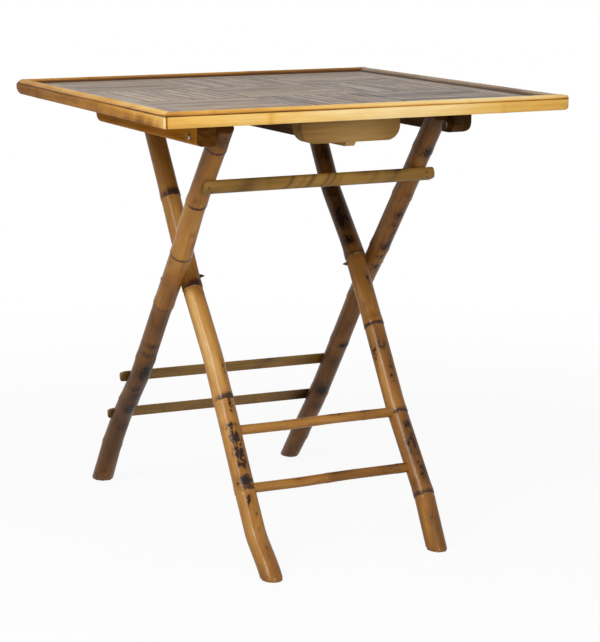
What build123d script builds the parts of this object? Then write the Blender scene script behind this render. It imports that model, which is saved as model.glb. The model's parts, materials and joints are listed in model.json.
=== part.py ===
"""Folding tray table: a square slatted bamboo tray on two pairs of crossed cane legs.

Millimetres. X runs along the front edge of the tray, Y from front to back and Z up from the floor.
The origin is on the floor, under the middle of the whole table.
"""
from build123d import *
import os

# Tray
TRAY_WIDTH = 650.0
TRAY_DEPTH = 650.0
TABLE_HEIGHT = 700.0
RIM_WIDTH = 24.0
RIM_HEIGHT = 6.5
RIM_SIDE = 2.0
EDGE_HEIGHT = 16.5
EDGE_THICK = 10.0
EDGE_ROUND = 1.5
MITRE_GAP = 0.2
BOARD_THICK = 10.0
SLAT_THICK = 3.0
SLAT_GAP = 1.6
BORDER_WIDTH = 45.0
TILES = 3
SLATS_PER_TILE = 10

# Bars under the tray
CLEAT_THICK = 30.0
CLEAT_LENGTH = 420.0
CLEAT_AHEAD_OF_HINGE = 29.0
CLEAT_BELOW_HINGE = 12.0
CLEAT_EDGE_ROUND = 8.0
CLEAT_END_ROUND = 14.0
BLOCK_LENGTH = 162.0
BLOCK_THICK = 30.0
BLOCK_DEPTH = 43.5
BLOCK_SETBACK = 80.0
BLOCK_ROUND = 22.0
BLOCK_WEB = 8.0
RAIL_THICK = 16.0
RAIL_BELOW_BLOCK = 6.5
RAIL_NOSE = 7.0
STOP_PAST_LEGS = 30.0
STOP_THICK = 24.0
STOP_DEPTH = 20.0

# Legs
LEG_DIAMETER = 31.0
NODE_RING = 1.0
NODE_HALF_WIDTH = 4.0
LEG_SIDE_GAP = 1.5
INNER_LEG_X = 145.0
HINGE_SETBACK = 149.0
HINGE_DROP = 32.0
LEG_PAST_HINGE = 20.0
LEG_TOP_CHAMFER = 4.0
OUTER_FOOT_Y = 342.5
INNER_FOOT_Y = -265.5
INNER_HEAD_Y = 208.5
FOOT_ROUND = 3.0
FOOT_WASTE = 30.0

# Rungs and battens: heights are those of their middles above the floor, ends are past the legs' middles
UPPER_RUNG_DROP = 72.5
UPPER_RUNG_WIDTH = 27.0
UPPER_RUNG_THICK = 9.5
UPPER_RUNG_LEFT_END = 7.5
UPPER_RUNG_RIGHT_END = 23.5
UPPER_RUNG_NAILS = 2
BACK_BATTEN_HEIGHTS = {"upper": 204.0, "lower": 127.5}
BACK_BATTEN_WIDTH = 24.5
BACK_BATTEN_THICK = 8.0
BACK_BATTEN_END = 21.5
BACK_BATTEN_TILT = 1.2
BACK_BATTEN_NAILS = 1
BATTEN_SIDE = 2.0
BATTEN_END_ROUND = 5.0
SEAT_DEPTH = 2.5
ROUND_RUNG_HEIGHTS = {"upper": 191.5, "lower": 114.5}
ROUND_RUNG_DIAMETER = 16.0
MORTISE_DEPTH = 12.0

# Pins, screws and nails
PIVOT_DIAMETER = 6.0
PIVOT_HEAD_DIAMETER = 9.0
PIVOT_HEAD_HEIGHT = 1.5
PIVOT_POINT = 7.0
PIVOT_PROUD = 1.0
HINGE_DIAMETER = 6.0
HINGE_HEAD_DIAMETER = 11.0
HINGE_HEAD_HEIGHT = 3.0
HINGE_BITE = 24.0
WASHER_DIAMETER = 16.0
WASHER_THICK = 1.6
SCREW_DIAMETER = 3.5
SCREW_HEAD_DIAMETER = 7.0
SCREW_HEAD_HEIGHT = 2.5
SCREW_BITE = 7.0
SCREWS_PER_BAR = 3
SCREW_MARGIN = 60.0
SCREW_EDGE_MARGIN = 7.0
NAIL_DIAMETER = 2.0
NAIL_HEAD_DIAMETER = 4.5
NAIL_HEAD_HEIGHT = 0.8
NAIL_BITE = 16.0
NAIL_PITCH = 7.0
BRAD_DIAMETER = 1.6
BRAD_BITE = 11.0
BRADS_PER_STRIP = 4
BRAD_END_MARGIN = 60.0

# Clearances
FIT_CLEARANCE = 0.05
RUNNING_CLEARANCE = 0.08
SEAT_CLEARANCE = 0.3

# How far each cane wanders to the back of its straight line, as (share of its length, millimetres)
LEG_BENDS = {
    "left_outer": [(0, 5.5), (0.11, 9), (0.2, 7), (0.35, -6.5), (0.52, -4), (0.68, -5.5), (0.8, 1), (1, -2)],
    "right_outer": [(0, -3), (0.2, -7.5), (0.36, -2.5), (0.56, 6), (0.64, 3), (0.83, 3), (1, 4)],
    "left_inner": [(0, -9), (0.02, -6.5), (0.08, 7), (0.17, 5), (0.29, 0), (0.43, -4), (0.57, 6), (0.78, -1),
                   (1, -4)],
    "right_inner": [(0, 5), (0.11, -5), (0.29, 4), (0.47, -2.5), (0.63, -6), (0.77, 8.5), (0.87, 3), (1, 0)],
}
# Where the growth nodes ring each cane, as shares of its length
LEG_NODES = {
    "left_outer": [0.107, 0.25, 0.39, 0.548, 0.685, 0.811, 0.949],
    "right_outer": [0.08, 0.225, 0.377, 0.5, 0.65, 0.79, 0.91],
    "left_inner": [0.165, 0.341, 0.575, 0.765],
    "right_inner": [0.108, 0.277, 0.459, 0.608, 0.83],
}

# Levels and places that follow from the sizes above
leg_radius = LEG_DIAMETER / 2
seam_z = TABLE_HEIGHT - RIM_HEIGHT
board_top = seam_z - SLAT_THICK
board_under = board_top - BOARD_THICK
board_width = TRAY_WIDTH - 2 * EDGE_THICK
board_depth = TRAY_DEPTH - 2 * EDGE_THICK
tray_front = -TRAY_DEPTH / 2
outer_leg_x = INNER_LEG_X + LEG_DIAMETER + 2 * NODE_RING + LEG_SIDE_GAP
cleat_inner_x = outer_leg_x + leg_radius + WASHER_THICK + SEAT_CLEARANCE
cleat_outer_x = cleat_inner_x + CLEAT_THICK
cleat_depth = HINGE_DROP + CLEAT_BELOW_HINGE
rail_depth = BLOCK_DEPTH + RAIL_BELOW_BLOCK


def crossing(first_point, first_way, second_point, second_way):
    """The point where two lines in the YZ plane meet."""
    gap = second_point - first_point
    turn = first_way.Y * second_way.Z - first_way.Z * second_way.Y
    reach = (gap.Y * second_way.Z - gap.Z * second_way.Y) / turn
    return first_point + first_way * reach


hinge = Vector(0, tray_front + HINGE_SETBACK, board_under - HINGE_DROP)
outer_foot = Vector(0, OUTER_FOOT_Y, 0)
inner_foot = Vector(0, INNER_FOOT_Y, 0)
inner_head = Vector(0, INNER_HEAD_Y, board_under)
outer_way = (hinge - outer_foot).normalized()
inner_way = (inner_head - inner_foot).normalized()
outer_length = (hinge - outer_foot).length + LEG_PAST_HINGE
inner_length = (inner_head - inner_foot).length
pivot = crossing(outer_foot, outer_way, inner_foot, inner_way)

parts = {}


def rod(start, way, length, radius):
    """A round bar from a point along a direction."""
    bar = Cylinder(radius, length, align=(Align.CENTER, Align.CENTER, Align.MIN))
    return Plane(origin=start, z_dir=way) * bar


def taper(start, way, length, start_radius, end_radius):
    """A cone, or the stump of one, from a point along a direction."""
    cone = Cone(start_radius, end_radius, length, align=(Align.CENTER, Align.CENTER, Align.MIN))
    return Plane(origin=start, z_dir=way) * cone


def block(x_range, y_range, z_range):
    """A box between two limits on each axis."""
    lows, highs = zip(x_range, y_range, z_range)
    sizes = [high - low for low, high in zip(lows, highs)]
    return Pos(*lows) * Box(*sizes, align=(Align.MIN, Align.MIN, Align.MIN))


def drill(names, cutter):
    """Cut one hole through each named piece."""
    for name in names:
        parts[name] = parts[name] - cutter


def group(pieces):
    """Separate solids kept together under one name."""
    return ShapeList([piece.solid() for piece in pieces])


def mirrored_pair(left_name, right_name, right_piece):
    """The same piece on both sides of the table."""
    parts[right_name] = right_piece
    parts[left_name] = mirror(right_piece, about=Plane.YZ)


def sides(width, depth):
    """Each side of a rectangle: its name, the turn that brings the front to it, its length and its reach."""
    yield "front", 0, width, depth / 2
    yield "right", 90, depth, width / 2
    yield "back", 180, width, depth / 2
    yield "left", 270, depth, width / 2


def evenly(first, last, count):
    """Places at even steps from the first to the last."""
    return [first + index * (last - first) / (count - 1) for index in range(count)]


def mitred_strip(profile, turn, length, reach, width):
    """A strip along one side of the tray, cut at 45 degrees at both ends.

    The profile has its outer face at zero and its inner face at the width, with its own heights.
    """
    bar = extrude(Plane.YZ * profile, amount=length / 2, both=True)
    strip = bar & extrude(mitred_plan(length, width), amount=TABLE_HEIGHT)
    return Rot(0, 0, turn) * Pos(0, -reach, 0) * strip


def mitred_plan(length, width):
    """The plan of a strip that is cut at 45 degrees at both ends, longest at zero."""
    half = length / 2 - MITRE_GAP / 2
    inner = half - width
    return make_face(Polyline((-half, 0), (half, 0), (inner, width), (-inner, width), close=True))


def edge_profile():
    """A flat strip with eased outer corners."""
    strip = RectangleRounded(EDGE_THICK, EDGE_HEIGHT, EDGE_ROUND)
    return Pos(EDGE_THICK / 2, seam_z - EDGE_HEIGHT / 2) * strip


def crowned_profile(width, height, side):
    """A flat-backed strip of split cane: low sides and a round crown, flat on zero height."""
    outline = Polyline((0, side), (0, 0), (width, 0), (width, side))
    crown = ThreePointArc((width, side), (width / 2, height), (0, side))
    return make_face(outline + crown)


def make_tray():
    """Board, slats, flat edge strips and half-round rim strips, with the brads that hold the rim."""
    board = Box(board_width, board_depth, BOARD_THICK)
    parts["tray_board"] = Pos(0, 0, board_under + BOARD_THICK / 2) * board
    borders = make_border_slats()
    make_parquet()
    brads = []
    for side, turn, length, reach in sides(TRAY_WIDTH, TRAY_DEPTH):
        rim = Pos(0, seam_z) * crowned_profile(RIM_WIDTH, RIM_HEIGHT, RIM_SIDE)
        parts[side + "_edge_strip"] = mitred_strip(edge_profile(), turn, length, reach, EDGE_THICK)
        parts[side + "_rim_strip"] = mitred_strip(rim, turn, length, reach, RIM_WIDTH)
        last = length / 2 - BRAD_END_MARGIN
        for along in evenly(-last, last, BRADS_PER_STRIP):
            top = Vector(along, RIM_WIDTH / 2 - reach, TABLE_HEIGHT).rotate(Axis.Z, turn)
            depth = RIM_HEIGHT + BRAD_BITE
            brads.append(rod(top, (0, 0, -1), depth, BRAD_DIAMETER / 2))
            hole = rod(top, (0, 0, -1), depth + FIT_CLEARANCE, BRAD_DIAMETER / 2 + FIT_CLEARANCE)
            drill([side + "_rim_strip", side + "_edge_strip", "tray_board"], hole)
            borders[side] = borders[side] - hole
    parts["rim_brads"] = group(brads)
    parts["border_slats"] = group(borders.values())


def make_border_slats():
    """Plain slats along the four edges of the board."""
    borders = {}
    for side, turn, length, reach in sides(board_width, board_depth):
        slat = extrude(mitred_plan(length, BORDER_WIDTH - SLAT_GAP), amount=SLAT_THICK)
        borders[side] = Rot(0, 0, turn) * Pos(0, -reach, board_top) * slat
    return borders


def make_parquet():
    """Squares of narrow slats in alternating directions, inside the border."""
    slat_z = (board_top, seam_z)
    tile_x = (board_width - 2 * BORDER_WIDTH) / TILES
    tile_y = (board_depth - 2 * BORDER_WIDTH) / TILES
    crosswise, lengthwise = [], []
    for column in range(TILES):
        for row in range(TILES):
            low_x = -tile_x * TILES / 2 + column * tile_x
            low_y = -tile_y * TILES / 2 + row * tile_y
            for index in range(SLATS_PER_TILE):
                if (column + row) % 2 == 0:
                    pitch = tile_y / SLATS_PER_TILE
                    slat_x = (low_x, low_x + tile_x - SLAT_GAP)
                    slat_y = (low_y + index * pitch, low_y + (index + 1) * pitch - SLAT_GAP)
                    crosswise.append(block(slat_x, slat_y, slat_z))
                else:
                    pitch = tile_x / SLATS_PER_TILE
                    slat_x = (low_x + index * pitch, low_x + (index + 1) * pitch - SLAT_GAP)
                    slat_y = (low_y, low_y + tile_y - SLAT_GAP)
                    lengthwise.append(block(slat_x, slat_y, slat_z))
    parts["crosswise_slats"] = group(crosswise)
    parts["lengthwise_slats"] = group(lengthwise)


def make_cleats():
    """The two bars that carry the hinge screws, with a round lower edge outside and a round back corner."""
    front = hinge.Y - CLEAT_AHEAD_OF_HINGE
    back = front + CLEAT_LENGTH
    cleat_x = (cleat_inner_x, cleat_outer_x)
    bar = block(cleat_x, (front, back), (board_under - cleat_depth, board_under))
    low_edges = bar.edges().group_by(Axis.Z)[0]
    bar = fillet(low_edges.filter_by(Axis.X).sort_by(Axis.Y)[-1:], CLEAT_END_ROUND)
    bar = fillet(bar.edges().filter_by(Axis.Y).group_by(Axis.Z)[0].sort_by(Axis.X)[-1:], CLEAT_EDGE_ROUND)
    hole_start = (cleat_inner_x, hinge.Y, hinge.Z)
    hinge_hole = rod(hole_start, (1, 0, 0), CLEAT_THICK, HINGE_DIAMETER / 2 + RUNNING_CLEARANCE)
    mirrored_pair("left_cleat", "right_cleat", bar - hinge_hole)
    middle_x = (cleat_inner_x + cleat_outer_x) / 2
    screws = []
    for side, name in ((-1, "left_cleat"), (1, "right_cleat")):
        for spot_y in evenly(hinge.Y + SCREW_MARGIN, back - SCREW_MARGIN, SCREWS_PER_BAR):
            screws.append(wood_screw(name, (side * middle_x, spot_y), cleat_depth))
    parts["cleat_screws"] = group(screws)


def wood_screw(name, spot, depth):
    """A countersunk screw up through a bar into the board; cuts its hole in both."""
    start = Vector(spot[0], spot[1], board_under - depth)
    length = depth + SCREW_BITE
    up = (0, 0, 1)

    def shape(extra):
        shank_radius = SCREW_DIAMETER / 2 + extra
        shank = rod(start, up, length + extra, shank_radius)
        return shank + taper(start, up, SCREW_HEAD_HEIGHT, SCREW_HEAD_DIAMETER / 2 + extra, shank_radius)

    drill([name, "tray_board"], shape(FIT_CLEARANCE))
    return shape(0)


def make_underframe():
    """The cross block, the deep rail housed in its back, and the batten that stops the inner legs."""
    block_front = tray_front + BLOCK_SETBACK
    block_back = block_front + BLOCK_THICK
    block_low = board_under - BLOCK_DEPTH
    half = BLOCK_LENGTH / 2
    rail_x = (-RAIL_THICK / 2, RAIL_THICK / 2)
    cross_block = block((-half, half), (block_front, block_back), (block_low, board_under))
    cross_block = fillet(cross_block.edges().filter_by(Axis.Y).group_by(Axis.Z)[0], BLOCK_ROUND)
    socket_x = (rail_x[0] - FIT_CLEARANCE, rail_x[1] + FIT_CLEARANCE)
    socket = block(socket_x, (block_front + BLOCK_WEB, block_back), (block_low, board_under))
    parts["cross_block"] = cross_block - socket

    leg_back = inner_head.Y + leg_radius / inner_way.Z + NODE_RING
    stop_front = leg_back + SEAT_CLEARANCE
    stop_half = INNER_LEG_X + STOP_PAST_LEGS
    stop_z = (board_under - STOP_DEPTH, board_under)
    parts["stop_batten"] = block((-stop_half, stop_half), (stop_front, stop_front + STOP_THICK), stop_z)

    rail_low = board_under - rail_depth
    nose = block_front + RAIL_NOSE
    shoulder = block_front + BLOCK_WEB + FIT_CLEARANCE
    below_block = block_low - FIT_CLEARANCE
    outline = Polyline((shoulder, board_under), (shoulder, below_block), (block_front, below_block),
                       (nose, rail_low), (stop_front, rail_low), (stop_front, board_under), close=True)
    parts["centre_rail"] = extrude(Plane.YZ * make_face(outline), amount=RAIL_THICK / 2, both=True)

    screws = []
    block_middle = (block_front + block_back) / 2
    last = half - BLOCK_ROUND - SCREW_EDGE_MARGIN
    for spot_x in (-last, last):
        screws.append(wood_screw("cross_block", (spot_x, block_middle), BLOCK_DEPTH))
    for spot_y in evenly(block_back + SCREW_MARGIN, stop_front - SCREW_MARGIN, SCREWS_PER_BAR):
        screws.append(wood_screw("centre_rail", (0, spot_y), rail_depth))
    stop_middle = stop_front + STOP_THICK / 2
    for spot_x in evenly(-INNER_LEG_X, INNER_LEG_X, SCREWS_PER_BAR):
        screws.append(wood_screw("stop_batten", (spot_x, stop_middle), STOP_DEPTH))
    parts["underframe_screws"] = group(screws)


def bend_at(bends, share):
    """How far a cane is off its straight line at a share of its length."""
    for (low, low_off), (high, high_off) in zip(bends, bends[1:]):
        if share <= high:
            return low_off + (high_off - low_off) * (share - low) / (high - low)
    return bends[-1][1]


def cane(name, x, foot, way, length, top_chamfer, top_waste):
    """A bamboo cane from below the floor to its top, through its bends, with a raised ring at each node."""
    line = Plane(origin=(x, foot.Y, foot.Z), x_dir=(1, 0, 0), z_dir=way)
    bends = LEG_BENDS[name]
    top = length + top_waste
    stations = {-FOOT_WASTE: leg_radius, top - top_chamfer: leg_radius, top: leg_radius - top_chamfer}
    for share, _ in bends[1:-1]:
        stations[share * length] = leg_radius
    for share in LEG_NODES[name]:
        middle = share * length
        for place in [at for at in stations if abs(at - middle) <= NODE_HALF_WIDTH]:
            del stations[place]
        stations[middle - NODE_HALF_WIDTH] = leg_radius
        stations[middle] = leg_radius + NODE_RING
        stations[middle + NODE_HALF_WIDTH] = leg_radius
    sections = []
    for place in sorted(stations):
        offset = bend_at(bends, max(place / length, 0))
        sections.append(line * Pos(0, offset, place) * Circle(stations[place]))
    return loft(sections, ruled=True)


def cut_foot(leg):
    """Cut a leg flat on the floor and ease the cut edge."""
    box = leg.bounding_box()
    below = block((box.min.X, box.max.X), (box.min.Y, box.max.Y), (box.min.Z - FOOT_WASTE, 0))
    leg = leg - below
    return fillet(leg.edges().group_by(Axis.Z)[0], FOOT_ROUND)


def make_legs():
    """Four canes: the outer pair reaches past the hinge, the inner pair is cut flat under the board."""
    for side, sign in (("left", -1), ("right", 1)):
        outer_x = sign * outer_leg_x
        outer = cane(side + "_outer", outer_x, outer_foot, outer_way, outer_length, LEG_TOP_CHAMFER, 0)
        parts[side + "_outer_leg"] = cut_foot(outer)
        inner_x = sign * INNER_LEG_X
        inner = cane(side + "_inner", inner_x, inner_foot, inner_way, inner_length, 0, LEG_DIAMETER)
        box = inner.bounding_box()
        leg_top = (board_under - SEAT_CLEARANCE, box.max.Z)
        above = block((box.min.X, box.max.X), (box.min.Y, box.max.Y), leg_top)
        parts[side + "_inner_leg"] = cut_foot(inner - above)


def make_battens():
    """Split-cane battens nailed into shallow flats on the front and back of the outer legs."""
    lying = batten_plane(hinge.Z - UPPER_RUNG_DROP, -1, 0)
    profile = crowned_profile(UPPER_RUNG_WIDTH, UPPER_RUNG_THICK, BATTEN_SIDE)
    ends = (UPPER_RUNG_LEFT_END, UPPER_RUNG_RIGHT_END)
    parts["rung_nails"] = group(make_batten("upper_rung", lying, profile, ends, UPPER_RUNG_NAILS))
    nails = []
    for level, height in BACK_BATTEN_HEIGHTS.items():
        lying = batten_plane(height, 1, BACK_BATTEN_TILT)
        profile = crowned_profile(BACK_BATTEN_WIDTH, BACK_BATTEN_THICK, BATTEN_SIDE)
        ends = (BACK_BATTEN_END, BACK_BATTEN_END)
        nails += make_batten(level + "_back_batten", lying, profile, ends, BACK_BATTEN_NAILS)
    parts["batten_nails"] = group(nails)


def batten_plane(height, face, tilt):
    """The seat of a batten on the front (face -1) or back (face 1) of the outer legs.

    Its Y points away from the legs and its Z runs along the batten, which the tilt hangs lower on the right.
    """
    outward = Vector(0, outer_way.Z, -outer_way.Y) * face
    seat = outer_foot + outer_way * (height / outer_way.Z) + outward * (leg_radius - SEAT_DEPTH)
    level = Plane(origin=seat, x_dir=outer_way * -face, z_dir=(1, 0, 0))
    return level.rotated((0, face * tilt, 0))


def make_batten(name, lying, profile, ends, nail_count):
    """One batten across the outer legs, with its seats in them; gives back its nails."""
    width, thick, _ = profile.bounding_box().size
    left_end = -outer_leg_x - ends[0]
    length = 2 * outer_leg_x + sum(ends)
    start = lying * Pos(0, 0, left_end)
    bar = extrude(start * Pos(-width / 2, 0) * profile, amount=length, dir=lying.z_dir)
    bar = fillet(bar.edges().filter_by(Axis((0, 0, 0), lying.y_dir)), BATTEN_END_ROUND)
    relief = Pos(0, leg_radius) * Rectangle(width + 2 * FIT_CLEARANCE, LEG_DIAMETER)
    drill(["left_outer_leg", "right_outer_leg"], extrude(start * relief, amount=length, dir=lying.z_dir))
    nails = []
    for side, leg in ((-1, "left_outer_leg"), (1, "right_outer_leg")):
        for index in range(nail_count):
            along = side * outer_leg_x + (index - (nail_count - 1) / 2) * NAIL_PITCH
            top = (lying * Pos(0, thick, along)).position
            inward = lying.y_dir * -1
            nails.append(nail(top, inward, thick + NAIL_BITE))
            hole = nail(top, inward, thick + NAIL_BITE, FIT_CLEARANCE)
            bar = bar - hole
            drill([leg], hole)
    parts[name] = bar
    return nails


def nail(top, way, length, extra=0.0):
    """A flat-headed nail whose head is flush with the surface it is driven into."""
    head = rod(top, way, NAIL_HEAD_HEIGHT + extra, NAIL_HEAD_DIAMETER / 2 + extra)
    return head + rod(top, way, length + extra, NAIL_DIAMETER / 2 + extra)


def make_round_rungs():
    """Two round rungs, their ends let into the inner legs and pinned there from behind."""
    nails = []
    outward = Vector(0, inner_way.Z, -inner_way.Y)
    half = INNER_LEG_X - leg_radius + MORTISE_DEPTH
    for level, height in ROUND_RUNG_HEIGHTS.items():
        name = level + "_round_rung"
        centre = inner_foot + inner_way * (height / inner_way.Z)
        start = centre - Vector(half, 0, 0)
        radius = ROUND_RUNG_DIAMETER / 2
        parts[name] = rod(start, (1, 0, 0), 2 * half, radius)
        start = start - Vector(SEAT_CLEARANCE, 0, 0)
        mortise = rod(start, (1, 0, 0), 2 * (half + SEAT_CLEARANCE), radius + FIT_CLEARANCE)
        drill(["left_inner_leg", "right_inner_leg"], mortise)
        for side, leg in ((-1, "left_inner_leg"), (1, "right_inner_leg")):
            offset = centre + Vector(side * (half - MORTISE_DEPTH / 2), 0, 0)
            top = offset + outward * leg_radius
            nails.append(nail(top, outward * -1, leg_radius + radius / 2))
            drill([leg, name], nail(top, outward * -1, leg_radius + radius / 2, FIT_CLEARANCE))
    parts["tenon_nails"] = group(nails)


def make_hinges():
    """Hinge screws through the cleats into the outer legs, with a washer between leg and cleat."""
    leg_side = outer_leg_x + leg_radius
    bite_start = leg_side - HINGE_BITE
    head_x = cleat_outer_x + SEAT_CLEARANCE
    spot = (bite_start, hinge.Y, hinge.Z)
    out = (1, 0, 0)
    shank = rod(spot, out, head_x - bite_start, HINGE_DIAMETER / 2)
    head_spot = (head_x, hinge.Y, hinge.Z)
    head = taper(head_spot, out, HINGE_HEAD_HEIGHT, HINGE_HEAD_DIAMETER / 2, HINGE_DIAMETER / 2)
    mirrored_pair("left_hinge_screw", "right_hinge_screw", shank + head)
    hole = rod(spot, out, HINGE_BITE, HINGE_DIAMETER / 2 + FIT_CLEARANCE)
    drill(["right_outer_leg"], hole)
    drill(["left_outer_leg"], mirror(hole, about=Plane.YZ))
    face = (leg_side, hinge.Y, hinge.Z)
    washer = rod(face, out, WASHER_THICK, WASHER_DIAMETER / 2)
    washer = washer - rod(face, out, WASHER_THICK, HINGE_DIAMETER / 2 + FIT_CLEARANCE)
    parts["hinge_washers"] = group([washer, mirror(washer, about=Plane.YZ)])


def make_pivots():
    """Pins through both legs at the crossing, headed outside and pointed inside."""
    head_x = outer_leg_x + leg_radius
    point_x = INNER_LEG_X - leg_radius - PIVOT_PROUD
    inward = (-1, 0, 0)
    spot = (head_x, pivot.Y, pivot.Z)
    shank = rod(spot, inward, head_x - point_x, PIVOT_DIAMETER / 2)
    point = taper((point_x, pivot.Y, pivot.Z), inward, PIVOT_POINT, PIVOT_DIAMETER / 2, 0)
    head = taper(spot, (1, 0, 0), PIVOT_HEAD_HEIGHT, PIVOT_HEAD_DIAMETER / 2, PIVOT_DIAMETER / 2)
    mirrored_pair("left_pivot_pin", "right_pivot_pin", shank + point + head)
    for leg, clearance in (("outer_leg", FIT_CLEARANCE), ("inner_leg", RUNNING_CLEARANCE)):
        hole = rod(spot, inward, head_x - point_x, PIVOT_DIAMETER / 2 + clearance)
        drill(["right_" + leg], hole)
        drill(["left_" + leg], mirror(hole, about=Plane.YZ))


def export_all():
    """Shift the table so that the origin lies under its middle, then write each piece to its own file."""
    boxes = [solid.bounding_box() for piece in parts.values() for solid in piece.solids()]
    middle = (min(box.min.Y for box in boxes) + max(box.max.Y for box in boxes)) / 2
    os.makedirs("parts", exist_ok=True)
    for name, piece in parts.items():
        solids = [Pos(0, -middle, 0) * solid for solid in piece.solids()]
        export_step(Compound(children=solids) if len(solids) > 1 else solids[0], f"parts/{name}.step")
    upright = Vector(0, 0, 1)
    print(f"{len(parts)} pieces, shifted {-middle:.3f} in Y")
    print(f"hinge Y {hinge.Y - middle:.3f} Z {hinge.Z:.3f}, pivot Y {pivot.Y - middle:.3f} Z {pivot.Z:.3f}")
    print(f"legs cross at {outer_way.get_angle(inner_way):.3f} degrees")
    print(f"outer legs lean {outer_way.get_angle(upright):.3f} degrees")


make_tray()
make_cleats()
make_underframe()
make_legs()
make_battens()
make_round_rungs()
make_hinges()
make_pivots()
export_all()
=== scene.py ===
# %% [markdown]
# # A folding bamboo tray table
# The frame holds the solids of the table at their real size: a square tray, two crossed pairs of canes,
# their rungs and the pins that they fold on. This lesson dresses that frame. Each step says what a piece
# is on the real table, how it could be made, and why it is made the way it is here.

# %% Load the frame
import json
import math
import random

import bmesh
import bpy
from mathutils import Matrix, Vector


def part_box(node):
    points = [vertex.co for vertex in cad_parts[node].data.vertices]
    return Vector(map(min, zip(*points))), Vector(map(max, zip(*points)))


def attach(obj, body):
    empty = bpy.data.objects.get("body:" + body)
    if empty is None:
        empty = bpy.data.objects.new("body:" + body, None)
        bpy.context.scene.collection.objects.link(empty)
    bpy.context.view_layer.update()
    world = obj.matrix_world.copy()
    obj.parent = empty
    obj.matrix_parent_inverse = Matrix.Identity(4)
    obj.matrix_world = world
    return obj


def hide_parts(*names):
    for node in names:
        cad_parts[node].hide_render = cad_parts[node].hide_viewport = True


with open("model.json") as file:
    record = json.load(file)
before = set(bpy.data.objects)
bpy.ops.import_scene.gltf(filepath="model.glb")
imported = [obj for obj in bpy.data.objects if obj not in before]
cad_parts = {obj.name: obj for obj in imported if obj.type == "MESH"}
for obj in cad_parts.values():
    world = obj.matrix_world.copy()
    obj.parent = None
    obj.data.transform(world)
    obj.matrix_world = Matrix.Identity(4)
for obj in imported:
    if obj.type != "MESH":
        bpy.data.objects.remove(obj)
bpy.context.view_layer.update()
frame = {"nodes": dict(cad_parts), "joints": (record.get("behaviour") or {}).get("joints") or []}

MM = 0.001
print("nodes in the frame:", len(frame["nodes"]))

# %% [markdown]
# ## The camera
# The photograph was taken from the left of the front, a little above the tray. A camera can be placed by
# eye, but a table has straight edges of known length, so its angle, distance and lens were worked out from
# the corners of the tray and the feet. The image is 600 pixels wide and 642 high, so the sensor's long side
# is the height, and the focal length in pixels becomes a lens in millimetres.

# %% Place the camera
IMAGE_HEIGHT = 642
SENSOR_WIDTH = 36
FOCAL_PIXELS = 1971.6
VIEW_AZIMUTH = math.radians(-26.05)
VIEW_ELEVATION = math.radians(11.46)
VIEW_DISTANCE = 3.169
VIEW_TARGET = Vector((0.0363, -0.0209, 0.3228))

camera = bpy.data.objects.new("camera", bpy.data.cameras.new("camera"))
bpy.context.scene.collection.objects.link(camera)
camera.data.sensor_width = SENSOR_WIDTH
camera.data.lens = FOCAL_PIXELS * SENSOR_WIDTH / IMAGE_HEIGHT
toward_viewer = Vector((
    math.sin(VIEW_AZIMUTH) * math.cos(VIEW_ELEVATION),
    -math.cos(VIEW_AZIMUTH) * math.cos(VIEW_ELEVATION),
    math.sin(VIEW_ELEVATION),
))
camera.location = VIEW_TARGET + toward_viewer * VIEW_DISTANCE
camera.rotation_mode = "QUATERNION"
camera.rotation_quaternion = toward_viewer.to_track_quat("Z", "Y")
bpy.context.scene.camera = camera
print("lens", round(camera.data.lens, 2), "mm, camera at", [round(x, 3) for x in camera.location])

# %% [markdown]
# ## Finishes from nodes
# Every surface here is bamboo, wood or steel, and none of it is one flat colour. The finishes are node
# trees, so they stay sharp at any distance. Bamboo fibres follow a bent cane, which Object coordinates
# can't do. So each piece carries its own "grain" attribute: a point in the piece as if it were straight,
# with Z along the fibres. Noise that is stretched along that Z becomes fibres.

# %% Node helpers
def start_material(name):
    """A new material, its node tree and its shader."""
    material = bpy.data.materials.new(name)
    material.use_nodes = True
    return material, material.node_tree, material.node_tree.nodes["Principled BSDF"]


def add(tree, kind, inputs=None, **settings):
    """A node whose inputs are numbers, colours or other nodes' outputs."""
    node = tree.nodes.new("ShaderNode" + kind)
    for key, value in settings.items():
        setattr(node, key, value)
    for key, value in (inputs or {}).items():
        if isinstance(value, bpy.types.NodeSocket):
            tree.links.new(value, node.inputs[key])
        else:
            node.inputs[key].default_value = value
    return node


def painted(tree, name):
    """The value that a piece's mesh carries under a name."""
    return add(tree, "Attribute", attribute_name=name).outputs["Fac"]


def math_node(tree, operation, first, second):
    return add(tree, "Math", {0: first, 1: second}, operation=operation).outputs[0]


def level(tree, value, low, high, to_low=0.0, to_high=1.0):
    """A smooth step from one level to another as a value rises from low to high."""
    spread = {"Value": value, "From Min": low, "From Max": high, "To Min": to_low, "To Max": to_high}
    return add(tree, "MapRange", spread, interpolation_type="SMOOTHSTEP").outputs["Result"]


def mix_colours(tree, share, first, second):
    mixed = add(tree, "Mix", data_type="RGBA")
    for index, value in ((0, share), (6, first), (7, second)):
        if isinstance(value, bpy.types.NodeSocket):
            tree.links.new(value, mixed.inputs[index])
        else:
            mixed.inputs[index].default_value = value
    return mixed.outputs[2]


def ramp(tree, value, stops):
    """A colour for each value, from a few stops."""
    node = add(tree, "ValToRGB", {"Fac": value})
    elements = node.color_ramp.elements
    for place, colour in stops[2:]:
        elements.new(place)
    for element, (place, colour) in zip(elements, stops):
        element.position = place
        element.color = (*colour, 1)
    return node.outputs["Color"]


print("node helpers ready")

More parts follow.
